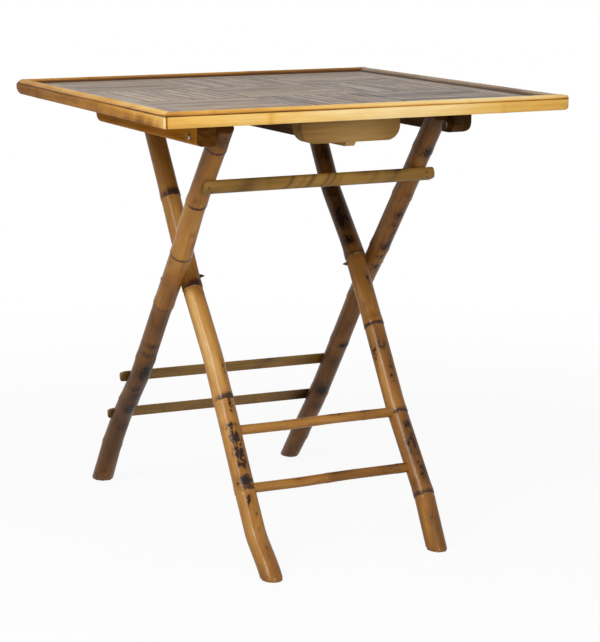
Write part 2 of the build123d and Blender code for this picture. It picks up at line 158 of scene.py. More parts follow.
# %% Noise along the fibres
def fibre_noise(tree, scale, stretch, detail=3.0, roughness=0.5, distortion=0.0):
    """Noise in a piece's own grain space; a small stretch draws it out along the fibres."""
    grain = add(tree, "Attribute", attribute_name="grain").outputs["Vector"]
    drawn = add(tree, "Mapping", {"Vector": grain, "Scale": (1, 1, stretch)}).outputs["Vector"]
    inputs = {"Vector": drawn, "Scale": scale, "Detail": detail, "Roughness": roughness,
              "Distortion": distortion}
    return add(tree, "TexNoise", inputs).outputs["Fac"]


def centred(tree, value, amount):
    """Noise moved to zero and scaled, so that it pushes a tone up and down alike."""
    return math_node(tree, "MULTIPLY", math_node(tree, "SUBTRACT", value, 0.5), amount)


def total(tree, *values):
    result = values[0]
    for value in values[1:]:
        result = math_node(tree, "ADD", result, value)
    return result


def set_relief(tree, shader, height, strength, distance):
    """Bump on the surface from a height."""
    bump = add(tree, "Bump", {"Height": height, "Strength": strength, "Distance": distance})
    tree.links.new(bump.outputs["Normal"], shader.inputs["Normal"])


print("fibre noise ready")

# %% [markdown]
# ## Bamboo skin
# The canes, the split battens and the tray's strips are all varnished bamboo, from pale honey to scorched
# black. One recipe with a few settings serves them all. The mesh says where a piece is darker ("tone"),
# where a growth node rings it or painted shade lies in a seam or a gap ("band") and where the flame has
# mottled it ("scorch"). The tone carries some painted shade and painted highlights too. The nodes only
# break those soft paintings up into streaks and specks.

# %% Bamboo material
SCORCHED = (0.010, 0.005, 0.004, 1)
# The node bands, and also the painted shade in the rim's seams and in the gaps between the slats, and the
# rim's darker groove
BAND_BROWN = (0.042, 0.017, 0.011, 1)
SCORCH_STAIN = 0.34
MOTTLE_EDGE = (0.53, 0.65)
MOTTLE_SPECKS, MOTTLE_BLOTCHES = 1.0, 1.6
BAND_AND_SHADE_EDGE = (0.26, 0.86)
BAND_AND_SHADE_SPECKS, BAND_AND_SHADE_STREAKS = 0.9, 0.5
MARK_COVER = 0.95
GLOSS_EDGE = (0.25, 0.8)
GLOSS_SPREAD = 0.2
VARNISH_ROUGHNESS = 0.2
SKIN_RELIEF = (0.12, 0.4 * MM)
# Each noise has a scale, a stretch along the fibres, a detail, a roughness and a distortion
SKIN_NOISES = {
    "fine": (900, 0.012, 2),
    "streak": (240, 0.02, 4, 0.6),
    "cloud": (40, 0.25, 5, 0.6, 0.5),
    "speck": (420, 0.45, 5, 0.65, 1.0),
    "blotch": (150, 0.5, 3, 0.6, 1.2),
}


def bamboo(name, shades, streaks=0.24, clouds=0.6, gloss=0.3, shine=0.04, varnish=0.28):
    """Varnished bamboo, with its shades from pale to dark and how far streaks and clouds move the tone."""
    material, tree, shader = start_material(name)
    noise = {key: fibre_noise(tree, *setting) for key, setting in SKIN_NOISES.items()}
    scorch = painted(tree, "scorch")
    stain = math_node(tree, "MULTIPLY", scorch, SCORCH_STAIN)
    tone = total(tree, painted(tree, "tone"), stain, centred(tree, noise["streak"], streaks),
                 centred(tree, noise["cloud"], clouds))
    colour = ramp(tree, tone, shades)
    mottle = total(tree, scorch, centred(tree, noise["speck"], MOTTLE_SPECKS),
                   centred(tree, noise["blotch"], MOTTLE_BLOTCHES))
    colour = mix_colours(tree, level(tree, mottle, *MOTTLE_EDGE, 0, MARK_COVER), colour, SCORCHED)
    # Dark node bands, and painted shade where a seam or a gap between slats lies
    bands_and_shade = total(tree, painted(tree, "band"), centred(tree, noise["speck"], BAND_AND_SHADE_SPECKS),
                 centred(tree, noise["streak"], BAND_AND_SHADE_STREAKS))
    colour = mix_colours(tree, level(tree, bands_and_shade, *BAND_AND_SHADE_EDGE, 0, MARK_COVER), colour, BAND_BROWN)
    tree.links.new(colour, shader.inputs["Base Color"])
    rough = level(tree, noise["cloud"], *GLOSS_EDGE, gloss, gloss + GLOSS_SPREAD)
    tree.links.new(rough, shader.inputs["Roughness"])
    shader.inputs["Specular IOR Level"].default_value = shine
    shader.inputs["Coat Weight"].default_value = varnish
    shader.inputs["Coat Roughness"].default_value = VARNISH_ROUGHNESS
    set_relief(tree, shader, total(tree, noise["fine"], noise["streak"]), *SKIN_RELIEF)
    return material


cane_skin = bamboo("varnished_cane", [
    (0.00, (0.57, 0.35, 0.125)),
    (0.28, (0.41, 0.200, 0.048)),
    (0.52, (0.265, 0.111, 0.021)),
    (0.78, (0.122, 0.048, 0.011)),
    (1.00, (0.045, 0.018, 0.005)),
])
STRIP_SHADES = [
    (0.00, (0.81, 0.61, 0.30)),
    (0.25, (0.70, 0.42, 0.105)),
    (0.50, (0.48, 0.215, 0.030)),
    (0.75, (0.25, 0.100, 0.014)),
    (1.00, (0.09, 0.036, 0.010)),
]
rim_skin = bamboo("honey_rim", STRIP_SHADES, streaks=0.35, clouds=0.4, gloss=0.34, shine=0.06, varnish=0.07)
# The right rim has its own greyer finish: a painted sheen, the grey that a grazing reflection gives it
painted_sheen_rim_skin = bamboo("weathered_rim", [
    (0.00, (0.52, 0.40, 0.27)),
    (0.35, (0.37, 0.265, 0.175)),
    (0.70, (0.25, 0.155, 0.09)),
    (1.00, (0.09, 0.055, 0.035)),
], streaks=0.35, clouds=0.5, gloss=0.34, shine=0.1, varnish=0.1)
edge_skin = bamboo("honey_edge", STRIP_SHADES, streaks=0.35, clouds=0.4, gloss=0.4, shine=0.04, varnish=0.03)
batten_skin = bamboo("olive_split_cane", [
    (0.00, (0.42, 0.25, 0.060)),
    (0.35, (0.27, 0.145, 0.029)),
    (0.65, (0.16, 0.083, 0.020)),
    (1.00, (0.050, 0.023, 0.008)),
], streaks=0.35, clouds=0.6, gloss=0.34, shine=0.06, varnish=0.15)
slat_skin = bamboo("grey_brown_slat", [
    (0.00, (0.30, 0.21, 0.13)),
    (0.40, (0.16, 0.105, 0.062)),
    (0.75, (0.070, 0.043, 0.026)),
    (1.00, (0.026, 0.016, 0.011)),
], streaks=0.4, clouds=0.7, gloss=0.32, shine=0.28, varnish=0.05)
print("bamboo finishes:", [m.name for m in bpy.data.materials if m.name != "Material"])

# %% [markdown]
# ## Wood and steel
# The bars under the tray are sawn wood, so their grain is broader than bamboo's and drifts across the
# face. The nails, screws and pins are plain steel, dulled by age. Steel has no direction here, so its
# blotches read Object coordinates.

# %% Wood and steel materials
WOOD_NOISES = {"drift": (42, 0.10, 5, 0.6, 1.6), "pore": (360, 0.02, 4, 0.6), "stain": (12, 0.6, 3)}
WOOD_WEIGHTS = {"drift": 0.7, "pore": 0.5, "stain": 0.5}
WOOD_SHINE = 0.03
WOOD_EDGE = (0.3, 0.7)
WOOD_SPREAD = 0.15
WOOD_RELIEF = (0.15, 0.5 * MM)


def sawn_wood(name, shades, gloss=0.5):
    """Sawn wood, with drifting grain, fine pores and broad stains."""
    material, tree, shader = start_material(name)
    noise = {key: fibre_noise(tree, *setting) for key, setting in WOOD_NOISES.items()}
    moved = [centred(tree, noise[key], weight) for key, weight in WOOD_WEIGHTS.items()]
    tone = total(tree, painted(tree, "tone"), *moved)
    tree.links.new(ramp(tree, tone, shades), shader.inputs["Base Color"])
    rough = level(tree, noise["stain"], *WOOD_EDGE, gloss, gloss + WOOD_SPREAD)
    tree.links.new(rough, shader.inputs["Roughness"])
    shader.inputs["Specular IOR Level"].default_value = WOOD_SHINE
    set_relief(tree, shader, total(tree, noise["drift"], noise["pore"]), *WOOD_RELIEF)
    return material


cleat_wood = sawn_wood("orange_hardwood", [
    (0.0, (0.50, 0.185, 0.006)), (0.38, (0.29, 0.098, 0.003)), (0.8, (0.085, 0.032, 0.006)),
    (1.0, (0.036, 0.017, 0.006))])
block_wood = sawn_wood("pale_softwood", [
    (0.0, (0.47, 0.30, 0.115)), (0.5, (0.29, 0.165, 0.052)), (1.0, (0.12, 0.062, 0.020))])
# The palest shade serves the rail's front end, which is painted as lit
rail_wood = sawn_wood("dark_hardwood", [
    (0.0, (0.42, 0.24, 0.085)), (0.5, (0.065, 0.025, 0.006)), (1.0, (0.020, 0.008, 0.003))])
board_wood = sawn_wood("raw_board", [
    (0.0, (0.44, 0.29, 0.14)), (0.5, (0.29, 0.175, 0.075)), (1.0, (0.14, 0.078, 0.03))], gloss=0.62)


STEEL_BLOTCHES = {"Scale": 420, "Detail": 5}
STEEL_SCRATCHES = {"Scale": 2200, "Detail": 2}
STEEL_STOPS = (0.35, 0.68)
STEEL_EDGE = (0.3, 0.75)
STEEL_SPREAD = 0.3
STEEL_RELIEF = (0.1, 0.1 * MM)


def old_steel(name, bright, dull, gloss):
    """Steel whose bright and dull blotches are scratched all over."""
    material, tree, shader = start_material(name)
    place = add(tree, "TexCoord").outputs["Object"]
    blotch = add(tree, "TexNoise", {"Vector": place, **STEEL_BLOTCHES}).outputs["Fac"]
    scratch = add(tree, "TexNoise", {"Vector": place, **STEEL_SCRATCHES}).outputs["Fac"]
    colour = ramp(tree, blotch, list(zip(STEEL_STOPS, (bright, dull))))
    tree.links.new(colour, shader.inputs["Base Color"])
    tree.links.new(level(tree, blotch, *STEEL_EDGE, gloss, gloss + STEEL_SPREAD), shader.inputs["Roughness"])
    shader.inputs["Metallic"].default_value = 1
    set_relief(tree, shader, scratch, *STEEL_RELIEF)
    return material


bolt_steel = old_steel("bolt_steel", (0.45, 0.41, 0.35), (0.22, 0.18, 0.14), 0.25)
# The washers get a brighter steel than the bolts so that they glint: a painted highlight in their colour
washer_steel = old_steel("washer_steel", (0.82, 0.78, 0.70), (0.55, 0.50, 0.43), 0.3)
nail_steel = old_steel("dark_nail_steel", (0.10, 0.08, 0.065), (0.035, 0.024, 0.018), 0.45)
print("wood and steel finishes ready")

# %% [markdown]
# ## From a bmesh to a piece
# Each piece ends the same way: its faces are turned outwards, its smooth faces are told apart from its
# sharp edges by angle, and it is handed to the body of the frame that it moves with. Its place is in its
# mesh, so its object stays at the origin.

# %% Piece helpers
SHARP_ANGLE = math.radians(40)


def only(parts, kind):
    return [part for part in parts if isinstance(part, kind)]


def everything(bm):
    return bm.verts[:] + bm.edges[:] + bm.faces[:]


def close_ends(bm):
    bmesh.ops.holes_fill(bm, edges=[edge for edge in bm.edges if edge.is_boundary])


def merged(parts):
    """One bmesh with the shapes of several."""
    whole = bmesh.new()
    carrier = bpy.data.meshes.new("carrier")
    for bm in parts:
        bm.to_mesh(carrier)
        bm.free()
        whole.from_mesh(carrier)
    bpy.data.meshes.remove(carrier)
    return whole


def as_piece(name, bm, body, material, replaced):
    """Make an object of a bmesh, let it ride on a body and stand for the nodes that it replaces."""
    bmesh.ops.recalc_face_normals(bm, faces=bm.faces[:])
    mesh = bpy.data.meshes.new(name)
    bm.to_mesh(mesh)
    bm.free()
    mesh.polygons.foreach_set("use_smooth", [True] * len(mesh.polygons))
    mesh.set_sharp_from_angle(angle=SHARP_ANGLE)
    mesh.materials.append(material)
    piece = bpy.data.objects.new(name, mesh)
    bpy.context.scene.collection.objects.link(piece)
    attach(piece, body)
    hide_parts(*replaced)
    return piece


def soften(piece, width):
    """Round the sharp edges a little, as handling does."""
    bevel = piece.modifiers.new("eased_edges", "BEVEL")
    bevel.width = width
    bevel.segments = 2
    bevel.limit_method = "ANGLE"
    bevel.angle_limit = SHARP_ANGLE
    return piece


def layers(bm):
    """The attributes that the finishes read, one layer each."""
    grain = bm.verts.layers.float_vector.get("grain") or bm.verts.layers.float_vector.new("grain")
    values = {}
    for name in ("tone", "band", "scorch"):
        values[name] = bm.verts.layers.float.get(name) or bm.verts.layers.float.new(name)
    return grain, values


def pull(bm, edges, centre, move, factor):
    """Draw a loop of edges out by one step: extrude it, scale it about its centre and move it."""
    grown = bmesh.ops.extrude_edge_only(bm, edges=edges)["geom"]
    verts = only(grown, bmesh.types.BMVert)
    bmesh.ops.scale(bm, vec=factor, space=Matrix.Translation(-centre), verts=verts)
    bmesh.ops.translate(bm, vec=move, verts=verts)
    return [edge for edge in only(grown, bmesh.types.BMEdge) if edge.is_boundary]


def cut_flat(bm, point, normal):
    """Saw off what lies past a plane and close the cut; gives back the edges of the cut."""
    cut = bmesh.ops.bisect_plane(bm, geom=everything(bm), plane_co=point, plane_no=normal, clear_outer=True)
    edges = only(cut["geom_cut"], bmesh.types.BMEdge)
    bmesh.ops.holes_fill(bm, edges=edges)
    return edges


print("piece helpers ready")

# %% [markdown]
# ## The lines of the legs
# Both outer legs run through the hinge and the pivot, so the frame's joints give their line. The inner legs
# run through the pivot and the round rungs. Bamboo is never quite straight: the photograph shows each
# cane wander, so each has a few bends, given as a share of its length and millimetres to the back. Its
# growth nodes are given by their share of the length, and its swellings as shares of its radius.

# %% Leg lines
joint_at = {joint["name"]: Vector(joint["pos_m"]) for joint in frame["joints"]}
pivot = joint_at["leg_fold"]
hinge = joint_at["tray_tilt"]


def middle(node):
    low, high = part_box(node)
    return (low + high) / 2


outer_way = (hinge - pivot).normalized()
inner_way = (middle("upper_round_rung") - middle("lower_round_rung")).normalized()
board_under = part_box("tray_board")[0].z
NODE_RING = 1.0 * MM
low_corner, high_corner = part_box("left_outer_leg")
leg_radius = (high_corner.x - low_corner.x) / 2 - NODE_RING
print("leg radius", round(leg_radius / MM, 2), "mm")

BENDS = {
    "left_outer": [(0, 1), (0.11, 8), (0.2, 7), (0.35, -6.5), (0.52, -4), (0.68, -5.5), (0.8, 1), (1, -2)],
    "right_outer": [(0, -3), (0.2, -7.5), (0.36, -2.5), (0.56, 6), (0.64, 3), (0.83, 3), (1, 4)],
    "left_inner": [(0, -9), (0.02, -6.5), (0.08, 7), (0.17, 5), (0.29, 0), (0.43, -4), (0.57, 6), (0.78, -1),
                   (1, -4)],
    "right_inner": [(0, 5), (0.11, -5), (0.29, 4), (0.47, -2.5), (0.63, -6), (0.77, 8.5), (0.87, 3), (1, 0)],
}
NODES = {
    "left_outer": [0.107, 0.25, 0.39, 0.548, 0.685, 0.811, 0.949],
    "right_outer": [0.08, 0.225, 0.377, 0.5, 0.65, 0.79, 0.91],
    "left_inner": [0.165, 0.341, 0.575, 0.765],
    "right_inner": [0.108, 0.277, 0.459, 0.608],
}
SWELLS = {
    "left_outer": [(0, 1.16), (0.05, 1.12), (0.12, 1.08), (0.2, 1.05), (0.4, 1.03), (0.53, 1.01),
                   (0.555, 1.06), (0.66, 1.09), (0.72, 1.08), (0.8, 1.04), (1, 1.04)],
    "right_outer": [(0, 1), (0.08, 1.04), (1, 1.04)],
    "left_inner": [(0, 1.06), (0.1, 1.03), (0.5, 1.02), (1, 1.02)],
    "right_inner": [(0, 1.03), (0.58, 1.02), (0.61, 1.05), (0.66, 1.02), (1, 1.02)],
}
print("growth nodes:", sum(len(shares) for shares in NODES.values()))

# %% [markdown]
# ## A cane
# A cane could be a curve with a bevel, but then its nodes, its painted scorch marks and its flat seats
# would be hard to reach. Here a ring of edges is drawn out along the bent line, step by step, with short
# steps at the growth nodes. A node is a sharp ridge with a swelling above it and a groove under it.

# %% Cane shape
CANE_SIDES = 36
COARSE_STEP = 6 * MM
BEND_WINDOW = (-10 * MM, -5 * MM, 0, 5 * MM, 10 * MM)
NODE_STEPS = [step * MM for step in (-13, -9, -6, -4, -2.6, -1.5, -0.6, 0.3, 1.2, 2.2, 3.2, 4.6, 7, 11)]
NODE_REACH = NODE_STEPS[-1] + 2 * MM
# The ridge, the swelling and the groove: share of the ring's height, millimetres past the node, width
NODE_PROFILE = [(0.5, 0, 1.1), (0.7, 5, 8), (-0.5, -2.4, 1.8)]


def along(points, share):
    """A value between the (share, value) points on either side."""
    for (low, first), (high, second) in zip(points, points[1:]):
        if share <= high:
            return first + (second - first) * max(share - low, 0) / (high - low)
    return points[-1][1]


def bell(gap, width):
    return math.exp(-(gap / width) ** 2)


class Cane:
    """The line of one cane, with its bends and its growth nodes."""

    def __init__(self, foot, way, length, radius, bends, swells, nodes, ridge):
        self.foot, self.way, self.length, self.radius = foot, way, length, radius
        self.bends, self.swells, self.ridge = bends, swells, ridge
        self.nodes = [share * length for share in nodes]
        self.across = Vector((1, 0, 0)) if abs(way.x) < 0.5 else Vector((0, 1, 0))
        self.back = way.cross(self.across)

    def centre(self, place):
        """A point of the bent line; averaging over a window rounds the corners of the bends."""
        offsets = [along(self.bends, (place + step) / self.length) for step in BEND_WINDOW]
        return self.foot + self.way * place + self.back * (sum(offsets) / len(offsets) * MM)

    def thick(self, place):
        """The radius, with a ridge, a swelling and a groove at each growth node."""
        radius = self.radius * along(self.swells, place / self.length)
        for node in self.nodes:
            gap = (place - node) / MM
            radius += self.ridge * sum(size * bell(gap - past, width) for size, past, width in NODE_PROFILE)
        return radius

    def places(self, low, high):
        """Steps along the cane: even ones, and short ones at the nodes."""
        even = [low + step * COARSE_STEP for step in range(int((high - low) / COARSE_STEP) + 1)]
        chosen = [place for place in even if all(abs(place - node) > NODE_REACH for node in self.nodes)]
        for node in self.nodes:
            chosen += [node + step for step in NODE_STEPS if low < node + step < high]
        return sorted(chosen) + [high]

    def grow(self, low, high):
        """Draw the cane's skin out from one place on its line to another."""
        bm = bmesh.new()
        turn = Matrix((self.across, self.back, self.way)).transposed().to_4x4()
        places = self.places(low, high)
        start = Matrix.Translation(self.centre(low)) @ turn
        bmesh.ops.create_circle(bm, segments=CANE_SIDES, radius=self.thick(low), matrix=start)
        edges = bm.edges[:]
        for here, there in zip(places, places[1:]):
            move = self.centre(there) - self.centre(here)
            factor = self.thick(there) / self.thick(here)
            edges = pull(bm, edges, self.centre(here), move, Vector((factor,) * 3))
        return bm

    def measure(self, point):
        """How far along the cane a point is, its angle round it and how far it is off its middle."""
        place = (point - self.foot).dot(self.way)
        off = point - self.centre(place)
        return place, math.atan2(off.dot(self.back), off.dot(self.across)), off


print("cane shape ready")

# %% [markdown]
# ## Painting a cane
# The dark bands at the nodes and the tortoise-shell scorch marks are not the same on any two canes. They
# are painted on the vertices: a band by its distance from a node, a patch by its distance from its own
# middle, along the cane and round it. Angles are in degrees round the cane: 0 is the right side, 90 the
# back, and the camera looks at about -120.

# %% Paint helpers
CANE_SHIFT = (0.37, 0.53, 0.71)
# How much paler one node's ridge is and how wide: rubbed, and a painted highlight as well
RUBBED_AND_LIT_PALE = 0.3
RUBBED_AND_LIT_WIDTH = 1.2


def grain_start(seed, steps):
    """A place in the grain of its own for each piece, so that no two look alike."""
    return Vector([seed * step for step in steps])


def turn_between(first, second):
    """The smaller angle between two directions, in degrees."""
    return abs((first - second + 180) % 360 - 180)


def paint_cane(bm, cane, seed, tone, bands, patches, worn_node=None):
    """Write the grain, the tone along the cane, the node bands and the scorch patches on its vertices.

    tone is (share, tone) pairs, a band is (strength, width below, width above, angle, half turn) for each
    node, and a patch is (share, angle, half length in millimetres, half turn in degrees, strength).
    A patch of negative strength is a painted highlight: a pale streak down the lit side. The ridge of one
    node may be paler: rubbed, with a painted highlight on it as well.
    """
    grain, values = layers(bm)
    shift = grain_start(seed, CANE_SHIFT)
    for vert in bm.verts:
        place, angle, off = cane.measure(vert.co)
        share = place / cane.length
        vert[grain] = shift + Vector((off.dot(cane.across), off.dot(cane.back), place))
        # One node's ridge is paler: rubbed, and a painted highlight as well
        rubbed_and_lit = 0.0 if worn_node is None else bell((place - cane.nodes[worn_node]) / MM, RUBBED_AND_LIT_WIDTH)
        vert[values["tone"]] = along(tone, share) - RUBBED_AND_LIT_PALE * rubbed_and_lit
        dark = 0.0
        for node, (strength, below, above, middle_angle, half_turn) in zip(cane.nodes, bands):
            gap = (place - node) / MM
            fade = bell(turn_between(math.degrees(angle), middle_angle), half_turn)
            dark = max(dark, strength * fade * bell(gap, above if gap > 0 else below))
        vert[values["band"]] = dark
        # pale gathers the patches of negative strength: painted highlights, added to the tone
        burn, pale = 0.0, 0.0
        for middle_share, middle_angle, half_length, half_turn, strength in patches:
            gap = (share - middle_share) * cane.length / MM / half_length
            turn = turn_between(math.degrees(angle), middle_angle) / half_turn
            mark = strength * math.exp(-gap ** 2 - turn ** 2)
            burn, pale = max(burn, mark), min(pale, mark)
        vert[values["scorch"]] = burn
        vert[values["tone"]] += pale


print("paint helpers ready")

# %% [markdown]
# ## Seats for the battens
# The split battens lie in shallow flats that are pared into the outer legs. A boolean would cut them, but
# would also cut the skin's even rings. Pushing every vertex that stands above the flat down onto it gives
# the same flat and keeps the mesh clean.

# %% Batten places
SEAT_DEPTH = 2.5 * MM
SEAT_ROOM = 0.08 * MM
RUNG_DROP = 72.5 * MM
BACK_BATTEN = {"face": 1, "tilt": 1.2, "width": 24.5 * MM, "thick": 8 * MM, "past": (21.5 * MM, 21.5 * MM)}
outer_leg_x = middle("right_outer_leg").x
outer_foot = pivot - outer_way * (pivot.z / outer_way.z)
outer_back = outer_way.cross(Vector((1, 0, 0)))


class Batten:
    """Where a split batten lies: its middle on the flat, which way it faces and how far it hangs askew."""

    def __init__(self, height, face, tilt, width, thick, past):
        self.out = outer_back * face
        self.middle = outer_foot + outer_way * (height / outer_way.z) + self.out * (leg_radius - SEAT_DEPTH)
        turn = Matrix.Rotation(math.radians(tilt), 3, outer_back)
        self.along = turn @ Vector((1, 0, 0))
        self.up = turn @ outer_way
        self.width, self.thick = width, thick
        self.left, self.right = -outer_leg_x - past[0], outer_leg_x + past[1]

    def press(self, bm):
        """Push a leg's skin down onto the flat under the batten."""
        for vert in bm.verts:
            gap = vert.co - self.middle
            stands = gap.dot(self.out) + SEAT_ROOM
            if stands > 0 and abs(gap.dot(self.up)) < self.width / 2 + SEAT_ROOM:
                vert.co -= self.out * stands


battens = {
    "upper_rung": Batten(hinge.z - RUNG_DROP, face=-1, tilt=0, width=27 * MM, thick=9.5 * MM,
                         past=(7.5 * MM, 23.5 * MM)),
    "upper_back_batten": Batten(height=204 * MM, **BACK_BATTEN),
    "lower_back_batten": Batten(height=127.5 * MM, **BACK_BATTEN),
}
print("battens:", {name: [round(x, 4) for x in batten.middle] for name, batten in battens.items()})

# %% [markdown]
# ## The four legs
# Each leg starts below the floor and is sawn flat at it. The sawn edge is rounded by a few level cuts just
# above the floor, each drawn in a little. The outer legs end in a rounded top past the hinge, and the inner
# legs are sawn flat under the board.

# %% Feet and tops
FOOT_ROUND = 3.2 * MM
FOOT_CUTS = [0.6 * MM, 1.4 * MM, 2.3 * MM]
TOP_RISE = 1.5 * MM
TOP_DRAW = 0.09
TOP_STEPS = (0.7, 0.35)


def draw_in(verts, height):
    """Move a level loop towards its middle by as much as a quarter round takes off at its height."""
    centre = sum((vert.co for vert in verts), Vector()) / len(verts)
    taken = FOOT_ROUND - math.sqrt(FOOT_ROUND ** 2 - (FOOT_ROUND - height) ** 2)
    for vert in verts:
        vert.co += (centre - vert.co).normalized() * taken


def round_foot(bm):
    """Saw a leg flat at the floor and draw its lowest rim in."""
    for height in FOOT_CUTS:
        cut = bmesh.ops.bisect_plane(bm, geom=everything(bm), plane_co=(0, 0, height), plane_no=(0, 0, -1))
        draw_in(only(cut["geom_cut"], bmesh.types.BMVert), height)
    edges = cut_flat(bm, (0, 0, 0), (0, 0, -1))
    draw_in(list({vert for edge in edges for vert in edge.verts}), 0)


def round_top(bm, cane):
    """Draw the open top of a leg in by a few steps and close it."""
    edges = [edge for edge in bm.edges if edge.is_boundary and edge.verts[0].co.z > pivot.z]
    for step in TOP_STEPS:
        factor = Vector((1 - TOP_DRAW / step,) * 3)
        edges = pull(bm, edges, cane.centre(cane.length), cane.way * (TOP_RISE * step), factor)
    bmesh.ops.holes_fill(bm, edges=edges)


print("foot rounding ready")

# %% [markdown]
# ## The marks on the legs
# No two canes are scorched alike, so each leg has its own list: its tone from foot to top, a dark band for
# each node and its patches. They were set leg by leg against the photograph. The sides that it doesn't
# show get a few broad patches, so that they are not bare.

# %% Marks on each leg
ALL_ROUND = (-120, 400)
# Each tone is partly the cane's own colour and partly painted shade: the outer legs darken at the top, under
# the tray, and the left outer leg over its lower half, towards the back. The patches of negative strength
# are painted highlights.
LEG_MARKS = {
    "left_outer": {
        "tone": [(0, 0.73), (0.1, 0.77), (0.25, 0.80), (0.38, 0.79), (0.41, 0.77), (0.54, 0.70),
                 (0.56, 0.53), (0.68, 0.47), (0.7, 0.39), (0.8, 0.39), (0.83, 0.52), (0.94, 0.58),
                 (0.955, 0.68), (1, 0.72)],
        "bands": [(0.5, 1, 3, *ALL_ROUND), (0.35, 1, 3, *ALL_ROUND), (0.4, 1, 3, *ALL_ROUND),
                  (0.75, 1.3, 3, *ALL_ROUND), (0.85, 1.4, 4, -100, 130), (1.1, 1.6, 6, -76, 110),
                  (0.95, 1.4, 5, -80, 140)],
        "patches": [(0.445, -98, 7, 54, 0.68), (0.42, -104, 5, 62, 0.68), (0.37, -92, 24, 50, 0.76),
                    (0.315, -98, 12, 54, 0.64), (0.29, -84, 22, 44, 0.68), (0.247, -86, 17, 46, 0.9),
                    (0.18, -118, 3, 14, 0.8), (0.19, -72, 14, 34, 0.5), (0.045, -118, 3, 9, 0.9),
                    (0.6, -72, 30, 34, 0.42), (0.5, -74, 30, 40, 0.4), (0.87, -95, 14, 30, 0.5),
                    (0.83, -130, 8, 20, 0.5), (0.98, -90, 14, 70, 0.6), (0.75, -85, 5, 18, 0.7),
                    (0.72, -60, 12, 24, 0.5), (0.5, 60, 40, 50, 0.5), (0.2, 80, 50, 50, 0.6),
                    (0.8, 70, 30, 50, 0.5)],
    },
    "right_outer": {
        "tone": [(0, 0.75), (0.2, 0.72), (0.3, 0.75), (0.4, 0.72), (0.5, 0.64), (0.6, 0.62), (0.8, 0.62),
                 (0.88, 0.64), (0.95, 0.76), (1, 0.88)],
        "bands": [(0.4, 1, 4, *ALL_ROUND), (0.5, 2, 6, *ALL_ROUND), (0.4, 1, 3, -70, 60),
                  (0.3, 1, 3, *ALL_ROUND), (0.3, 1, 3, *ALL_ROUND), (0.3, 1, 3, *ALL_ROUND),
                  (0.5, 1, 4, *ALL_ROUND)],
        "patches": [(0.25, -105, 16, 60, 0.8), (0.20, -90, 14, 50, 0.6), (0.385, -80, 7, 50, 0.95),
                    (0.755, -86, 12, 42, 0.74), (0.73, -96, 9, 30, 0.64), (0.67, -86, 12, 48, 0.74),
                    (0.642, -96, 8, 36, 0.66), (0.612, -94, 11, 38, 0.7), (0.70, -76, 50, 24, 0.56),
                    (0.92, -80, 12, 44, 0.85), (0.13, -100, 12, 34, 0.55), (0.81, -90, 6, 24, 0.5),
                    (0.335, -110, 16, 50, 0.5), (0.5, 60, 40, 50, 0.5), (0.15, 80, 50, 50, 0.6),
                    (0.85, 60, 40, 50, 0.6)],
    },
    "left_inner": {
        "tone": [(0, 0.58), (0.03, 0.50), (0.1, 0.40), (0.16, 0.34), (0.2, 0.38), (0.33, 0.34), (0.36, 0.24),
                 (0.56, 0.28), (0.59, 0.56), (0.7, 0.36), (0.76, 0.38), (0.775, 0.46), (1, 0.44)],
        "bands": [(1.0, 1.5, 12, -84, 50), (1.1, 1.5, 10, -70, 110), (1.05, 1.5, 13, -76, 120),
                  (1.15, 1.5, 14, -76, 120)],
        "patches": [(0.262, -100, 16, 46, 0.84), (0.235, -98, 16, 50, 0.9), (0.287, -112, 8, 66, 0.7),
                    (0.212, -92, 12, 50, 0.8), (0.182, -94, 12, 62, 0.95), (0.33, -78, 24, 22, 0.66),
                    (0.148, -100, 7, 14, 0.95), (0.136, -112, 5, 10, 0.95), (0.118, -82, 3, 7, 1.1),
                    (0.085, -92, 2.5, 6, 1.1), (0.70, -75, 6, 18, 0.9), (0.40, -66, 22, 14, 0.6),
                    (0.56, -70, 12, 40, 0.5), (0.04, -90, 16, 30, 0.4), (0.5, -142, 90, 18, -0.22),
                    (0.27, -140, 60, 16, -0.14), (0.09, -140, 50, 16, -0.18), (0.5, 60, 40, 50, 0.5),
                    (0.2, 80, 50, 50, 0.6), (0.85, 70, 40, 50, 0.5)],
    },
    "right_inner": {
        "tone": [(0, 0.66), (0.09, 0.60), (0.2, 0.60), (0.27, 0.58), (0.29, 0.46), (0.45, 0.50),
                 (0.47, 0.45), (0.59, 0.48), (0.615, 0.70), (0.7, 0.82), (0.85, 0.80), (1, 0.78)],
        "bands": [(0.9, 1.5, 7, *ALL_ROUND), (0.9, 2, 7, *ALL_ROUND), (1.0, 2.5, 5, *ALL_ROUND),
                  (0.7, 3, 8, *ALL_ROUND)],
        "patches": [(0.69, -122, 30, 90, 0.74), (0.64, -128, 12, 70, 0.8), (0.76, -110, 24, 80, 0.62),
                    (0.84, -120, 30, 90, 0.54), (0.93, -140, 40, 100, 0.58), (0.40, -165, 30, 34, 0.6),
                    (0.22, -82, 50, 36, 0.66), (0.15, -78, 22, 40, 0.68), (0.13, -150, 14, 30, 0.5),
                    (0.475, -105, 8, 50, 0.5), (0.06, -110, 14, 24, 0.5), (0.37, -150, 70, 20, -0.26),
                    (0.2, -150, 60, 18, -0.2), (0.05, -146, 34, 18, -0.22), (0.52, -148, 24, 20, -0.14),
                    (0.36, -85, 40, 40, 0.48), (0.42, -104, 30, 40, 0.46), (0.2, -112, 40, 50, 0.52),
                    (0.55, -75, 20, 22, 0.5), (0.5, -140, 10, 16, 0.4), (0.5, 60, 40, 50, 0.5),
                    (0.2, 80, 50, 50, 0.6)],
        # This node's ridge is paler: rubbed, and a painted highlight as well
        "worn_node": 3,
    },
}
print("marks for", len(LEG_MARKS), "legs")

# %% [markdown]
# ## Growing the legs
# Each cane is grown on its line. The outer ones then get the seats of the battens and a rounded top, and
# the inner ones are sawn under the board. A leg is painted last, so that its marks lie on its final shape.

